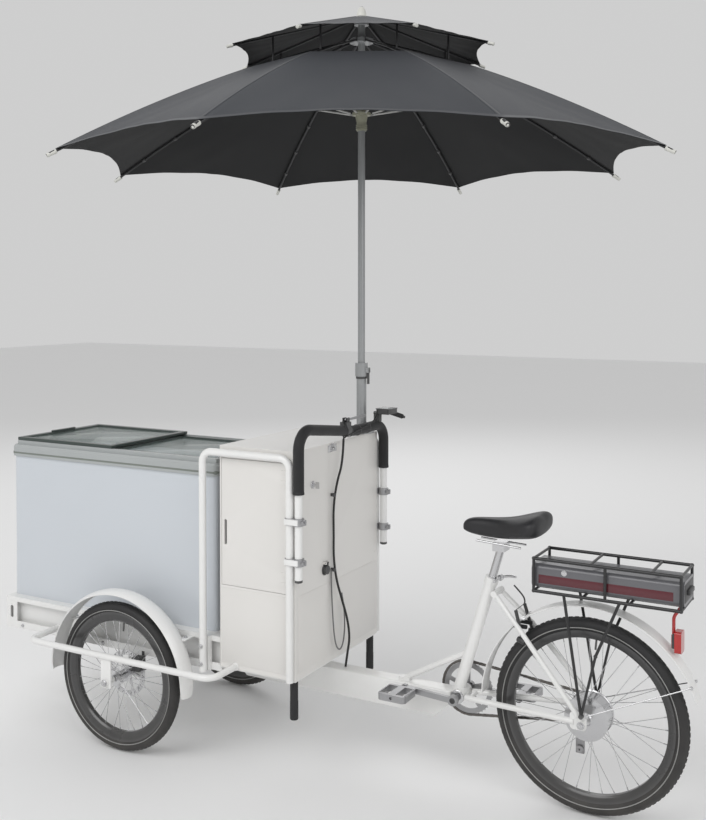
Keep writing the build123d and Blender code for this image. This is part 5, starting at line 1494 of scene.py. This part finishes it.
@dataclass
class RearFrame:
    """Frame, rear mudguard, rim brake, seat clamp, rack, lamp and battery."""

    body: str = "rear_frame"

    def fender(self) -> None:
        """Rear mudguard with its wire stays."""
        guard = Mudguard("rear_mudguard", "rear_fender", self.body, at(0, 0, 300), 0.3405, 0.060, 18, 178,
                         crown=0.0)
        guard.crown = 0.0015
        shell = guard.build()
        for side, name in ((-1, "left"), (1, "right")):
            guard.stay(f"fender_stay_{name}", side, 26, at(16, side * 84, 329))
        bridge = slab("bridge", at(-206, -43, 573), at(-192, 43, 577), 0.0008)
        dress(bridge, STEEL, self.body)
        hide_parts("rear_fender")

    def brake(self) -> None:
        """Rim brake arms with their pads, the noodle and the link wire."""
        parts, pads = [], []
        for side in (-1, 1):
            parts.append(bar("arm", at(-196, side * 47, 512), at(-222, side * 40, 600), 0.0055, 20, 0.001))
            parts.append(bar("boss", at(-186, side * 54, 508), at(-212, side * 46, 514), 0.009, 24, 0.001))
            pads.append(slab("pad", at(-236, min(side * 18, side * 30), 541),
                             at(-190, max(side * 18, side * 30), 553), 0.003))
        parts.append(bar("link", at(-222, -40, 600), at(-222, 40, 600), 0.0012, 10))
        parts.append(wire("noodle", [at(-222, 40, 600), at(-224, 52, 606), at(-236, 60, 622),
                                     at(-262, 52, 650)], 0.0025))
        dress(join("rim_brake", parts), BLACK_PLASTIC, self.body)
        dress(join("rim_brake_pads", pads), RUBBER, self.body)

    def seat_clamp(self) -> None:
        """Seat collar bolt with its quick-release lever."""
        nut = bar("nut", at(-298, -30, 676), at(-298, 26, 676), 0.0052, 24, 0.0008)
        cam = bar("cam", at(-298, 22, 676), at(-298, 34, 676), 0.010, 28, 0.0012)
        lever = wire("lever", [at(-298, 30, 676), at(-284, 34, 680), at(-262, 33, 684), at(-246, 28, 684)],
                     0.0042)
        dress(join("seat_release", [nut, cam, lever]), STEEL, self.body)

    def nuts(self) -> None:
        """Axle nuts and bottom bracket cups."""
        parts = [hex_nut("nut", at(0, side * 90, 300), Y_AXIS * side, 0.0095, 0.006) for side in (-1, 1)]
        for side in (-1, 1):
            parts.append(lathe("cup", [(0.0095, 0), (0.0225, 0), (0.0225, 0.003), (0.019, 0.005),
                                       (0.0095, 0.005)],
                               at(-420, side * 36, 290), Y_AXIS * side, 40, True))
        dress(join("frame_nuts", parts), STEEL, self.body)

    def rack(self) -> None:
        """Finishes of the rack and lamp, and the battery's trims."""
        dress_node("rear_rack", BLACK_STEEL)
        dress_node("tail_light", RED_LENS)
        shell = slab("lamp_shell", at(247, -17, 550), at(258.5, 17, 592), 0.003)
        dress(shell, BLACK_PLASTIC, self.body)
        dress_node("battery", BATTERY)
        strips = []
        for side in (-1, 1):
            y = side * 65.6
            strips.append(slab("strip", at(-140, min(y, y - side * 2), 703),
                               at(262, max(y, y - side * 2), 729), 0.0006))
        dress(join("battery_strips", strips), MAROON, "battery")
        cap = slab("end", at(280, -58, 696), at(293.5, 58, 752), 0.004)
        handle = slab("handle", at(292, -32, 716), at(303, 32, 732), 0.004)
        dress(join("battery_end", [cap, handle]), BLACK_PLASTIC, "battery")
        dress(bar("battery_lock", at(-60, -64, 742), at(-60, -66.5, 742), 0.009, 28, 0.0006), STEEL,
              "battery")

    def build(self) -> None:
        """Builds and dresses the rear half's fixed pieces."""
        for node in ("frame_beam", "seat_tube", "rear_triangle"):
            dress_node(node, WHITE)
        self.fender()
        self.brake()
        self.seat_clamp()
        self.nuts()
        self.rack()


@dataclass
class Drive:
    """Toothed chainring, cranks, pedals, chain links and derailleur."""

    centre_x: float = -420.0
    centre_z: float = 290.0
    chain_y: float = 56.0
    ring_r: float = 0.084
    small_r: float = 0.036
    pitch: float = 0.0127

    def toothed(self, name: str, centre: Vector, radius: float, teeth: int, body: str) -> bpy.types.Object:
        """Flat ring with teeth round it."""
        tooth = slab("tooth", centre + Vector((-0.0022, -0.0009, radius - 0.002)),
                     centre + Vector((0.0022, 0.0009, radius + 0.0032)),
                     0.0006)
        ring = repeat(name, tooth, [turned(centre, Y_AXIS,
                                           2 * pi * index / teeth) for index in range(teeth)])
        return dress(ring, STEEL, body)

    def chain(self) -> None:
        """Links round both sprockets, standing for the CAD band, with the derailleur's cage."""
        front, rear = at(self.centre_x, self.chain_y, self.centre_z), at(0, self.chain_y, 300)
        run = rear - front
        span, tilt = run.length, atan2(run.z, run.x)
        r0, r1 = self.ring_r + 0.0044, self.small_r + 0.0044
        lean = asin((r0 - r1) / span)
        straight = span * cos(lean)
        arc0, arc1 = r0 * (pi + 2 * lean), r1 * (pi - 2 * lean)
        total = 2 * straight + arc0 + arc1
        count = int(round(total / self.pitch / 2)) * 2
        places = []
        for index in range(count):
            s = total * index / count
            if s < straight:
                x, z, turn = r0 * sin(lean) + s * cos(lean), r0 * cos(lean) - s * sin(lean), -lean
            elif s < straight + arc1:
                turn = -lean - (s - straight) / r1
                x, z = span - r1 * sin(turn), r1 * cos(turn)
            elif s < 2 * straight + arc1:
                back = s - straight - arc1
                turn = lean - pi
                x, z = span + r1 * sin(lean) - back * cos(lean), -r1 * cos(lean) - back * sin(lean)
            else:
                turn = lean - pi - (s - 2 * straight - arc1) / r0
                x, z = -r0 * sin(turn), r0 * cos(turn)
            centre = front + Vector((x * cos(tilt) - z * sin(tilt), 0, x * sin(tilt) + z * cos(tilt)))
            places.append(Matrix.Translation(centre) @ Matrix.Rotation(-(turn + tilt), 4, "Y"))
        pieces = []
        for offset, half in ((0.0026, 0), (0.0036, 1)):
            for side in (-1, 1):
                plate = slab("plate", Vector((-0.0078, side * offset - 0.0005, -0.0036)),
                             Vector((0.0078, side * offset + 0.0005, 0.0036)), 0.0004)
                pieces.append(repeat("plates", plate, places[half::2]))
        roller = bar("roller", Vector((-0.00635, -0.0026, 0)), Vector((-0.00635, 0.0026, 0)), 0.0038, 12)
        pieces.append(repeat("rollers", roller, places))
        links = dress(join("chain_links", pieces), CHAIN, "rear_frame", 30.0, "chain")
        cage = []
        for y in (60.4, 66.0):
            cage.append(slab("cage", at(-60, y, 150), at(-33, y + 1.6, 254), 0.0007))
        cage.append(slab("body", at(-52, 58, 244), at(-14, 70, 290), 0.004))
        cage.append(bar("pivot", at(-22, 58, 287), at(-22, 73, 287), 0.006, 24, 0.001))
        wheels = [lathe("jockey", [(0.003, -0.004), (0.0115, -0.004), (0.0125, 0), (0.0115, 0.004),
                                   (0.003, 0.004)],
                        at(-46, 56, z), Y_AXIS, 28, True) for z in (165, 226)]
        dress(join("derailleur", cage + wheels), CAST, "rear_frame")
        log.info("%s has %d links", links.name, count)

    def build(self) -> None:
        """Builds and dresses the drive."""
        dress_node("crankset", CAST)
        dress_node("rear_sprocket", STEEL)
        self.chain()
        self.toothed("chainring_teeth", at(self.centre_x, self.chain_y, self.centre_z), self.ring_r, 42,
                     "crank")
        self.toothed("sprocket_teeth", at(0, self.chain_y, 300), self.small_r, 18, "sprocket")
        caps = []
        for side in (-1, 1):
            caps.append(lathe("cap", [(0, 0.004), (0.006, 0.0035), (0.009, 0.0015), (0.0095, 0), (0, 0)],
                              at(self.centre_x, side * 77, self.centre_z), Y_AXIS * side, 28))
        dress(join("crank_caps", caps), BLACK_PLASTIC, "crank")
        for side in ("left", "right"):
            node = f"pedal_{side}"
            dress_node(node, CAST)
            low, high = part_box(node)
            treads = []
            for x in (low.x + 0.003, high.x - 0.006):
                for index in range(7):
                    y = low.y + 0.014 + (high.y - low.y - 0.028) * index / 6
                    treads.append(slab("tread", Vector((x, y - 0.003, high.z - 0.001)),
                                       Vector((x + 0.003, y + 0.003, high.z + 0.0022)), 0.0005))
                    treads.append(slab("tread", Vector((x, y - 0.003, low.z - 0.0022)),
                                       Vector((x + 0.003, y + 0.003, low.z + 0.001)), 0.0005))
            dress(join(f"{node}_treads", treads), STEEL, node)


@dataclass
class Saddle:
    """Padded saddle over its base."""

    body: str = "seat"
    stations: tuple[tuple[float, float, float, float], ...] = (
        (0.0, 10, 48, 68), (0.03, 17, 44, 80), (0.10, 23, 38, 90), (0.22, 27, 34, 94), (0.35, 32, 32, 97),
        (0.48, 41, 33, 100), (0.60, 56, 36, 105), (0.70, 74, 41, 112), (0.80, 90, 46, 120),
        (0.90, 98, 50, 128),
        (0.96, 92, 58, 126), (1.0, 66, 74, 112),
    )

    def build(self) -> None:
        """Builds and dresses the saddle."""
        dress_node("seat_post", STEEL)
        low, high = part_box("saddle")
        base_z = low.z - 0.030
        steps, points, faces = 40, [], []
        for share, half, bottom, top in self.stations:
            for step in range(steps):
                angle = 2 * pi * step / steps
                side, up = cos(angle), sin(angle)
                dip = 0.006 * exp(-(side * 3.0) ** 2) * max(up, 0) * min(share * 2, 1)
                middle_z, rise = (bottom + top) / 2 * MM, (top - bottom) / 2 * MM
                rounding = abs(up) ** (0.8 if up > 0 else 0.6)
                points.append((low.x + share * (high.x - low.x), middle("saddle").y + half * MM * side,
                               base_z + middle_z + rise * rounding * (1 if up > 0 else -1) - dip))
        count = len(self.stations)
        for row in range(count - 1):
            for step in range(steps):
                following = (step + 1) % steps
                faces.append((row * steps + step, row * steps + following, (row + 1) * steps + following,
                              (row + 1) * steps + step))
        faces.append(tuple(range(steps)))
        faces.append(tuple((count - 1) * steps + step for step in range(steps)))
        mesh = bpy.data.meshes.new("saddle_cushion")
        mesh.from_pydata(points, [], faces)
        cushion = bpy.data.objects.new("saddle_cushion", mesh)
        bpy.context.scene.collection.objects.link(cushion)
        pick(cushion)
        bpy.ops.object.mode_set(mode="EDIT")
        bpy.ops.mesh.select_all(action="SELECT")
        bpy.ops.mesh.normals_make_consistent(inside=False)
        bpy.ops.object.mode_set(mode="OBJECT")
        apply_modifier(cushion, "SUBSURF", levels=2, render_levels=2)
        dress(cushion, VINYL, self.body, 80.0, "saddle")


@dataclass
class Cables:
    """Main control cable and the thin grey lead's loop."""

    body: str = "front_box"
    main_route: tuple[tuple[float, float, float], ...] = (
        (-851, -14, 1087), (-848, -24, 1010), (-860, -46, 940), (-867, -56, 860), (-865, -57, 770),
        (-867, -55, 690),
        (-860, -48, 610), (-846, -30, 535), (-838, -8, 465), (-838, 6, 400), (-846, 4, 350),
        (-850, -2, 302),
    )
    grey_route: tuple[tuple[float, float, float], ...] = (
        (-870, -66, 650), (-867, -69, 590), (-863, -71, 530), (-860, -70, 475), (-858, -66, 425),
        (-857, -54, 385),
        (-857, -30, 365), (-857, -8, 380), (-858, 5, 420), (-861, 11, 465), (-866, 13, 510),
        (-874, 13, 550),
    )

    def lay(self, name: str, node: str, route: tuple[tuple[float, float, float], ...], radius: float,
            finish: Finish) -> None:
        """Lays one cord along its route.

        Args:
            name: The piece's name.
            node: The CAD node that it stands for.
            route: The points that its curve follows, in mm.
            radius: Half its diameter.
            finish: Its finish.
        """
        points = [at(*point) for point in route]
        cord = smooth_curve(name, points, radius, 5)
        dress(cord, finish, self.body, 60.0, node)

    def build(self) -> None:
        """Lays both cords."""
        self.lay("main_cord", "main_cable", self.main_route, 0.004, CABLE)
        self.lay("grey_cord", "grey_cable", self.grey_route, 0.0025, GREY_LEAD)


# ---------------------------------------------------------------- studio


@dataclass
class Studio:
    """Pale floor, soft light and the camera."""

    camera_at: tuple[float, float, float] = (1.8473, -3.3605, 1.6005)
    lean_deg: float = 88.695
    turn_deg: float = 29.0
    lens: float = 46.42
    shift_y: float = -0.1194

    def light(self, name: str, place: tuple[float, float, float], size: float, power: float) -> None:
        """Square soft light aimed at the object's middle."""
        data = bpy.data.lights.new(name, "AREA")
        data.shape, data.size, data.energy = "SQUARE", size, power
        lamp = bpy.data.objects.new(name, data)
        bpy.context.scene.collection.objects.link(lamp)
        lamp.location = place
        lamp.rotation_euler = (Vector((0, 0, 0.9)) - Vector(place)).to_track_quat("-Z", "Y").to_euler()

    def build(self) -> None:
        """Sets the floor, the lights, the world and the camera."""
        deselect()
        bpy.ops.mesh.primitive_plane_add(size=40, location=(0, 0, -0.0006))
        floor = settle(bpy.context.object, "floor")
        paint = Finish("floor_paint", "", (0.86, 0.86, 0.86), 0.75, variation=0.0)
        floor.data.materials.append(SHOP.material(paint))
        self.light("key", (-1.0, -5.0, 5.0), 4.0, 150.0)
        self.light("fill", (5.0, -2.5, 3.5), 4.0, 60.0)
        self.light("back", (-3.0, 5.0, 5.0), 5.0, 90.0)
        world = bpy.data.worlds.new("studio")
        world.use_nodes = True
        background = world.node_tree.nodes["Background"]
        background.inputs["Color"].default_value = (1.0, 1.0, 1.0, 1.0)
        background.inputs["Strength"].default_value = 0.62
        scene = bpy.context.scene
        scene.world = world
        data = bpy.data.cameras.new("camera")
        data.lens, data.sensor_width, data.shift_y = self.lens, 36.0, self.shift_y
        camera = bpy.data.objects.new("camera", data)
        scene.collection.objects.link(camera)
        camera.location = self.camera_at
        camera.rotation_euler = (radians(self.lean_deg), 0, radians(self.turn_deg))
        scene.camera = camera
        scene.render.resolution_x, scene.render.resolution_y = 706, 820
        scene.view_settings.view_transform = "Standard"


def wheels() -> list[Wheel]:
    """The rear wheel and both front wheels."""
    return [
        Wheel("rear", "rear_wheel", "rear_tyre", "rear_wheel", 0.068, 0.040, 0.238, 0.262, 0.272, lugs=96),
        Wheel("front_left", "wheel_left", "front_tyre_left", "front_wheel_left", 0.026, 0.036, 0.191, 0.222,
              0.230,
              disc_side=1),
        Wheel("front_right", "wheel_right", "front_tyre_right", "front_wheel_right", 0.026, 0.036, 0.191,
              0.222,
              0.230, disc_side=-1),
    ]


def main() -> None:
    """Builds every sub-assembly."""
    builders = wheels() + [FrontBox(), Freezer(), Cabinet(), PushBar(), RearFrame(), Drive(), Saddle(),
                           Cables(),
                           Umbrella(), Studio()]
    for builder in builders:
        log.info("building %s", type(builder).__name__)
        builder.build()


if __name__ == "__main__":
    main()
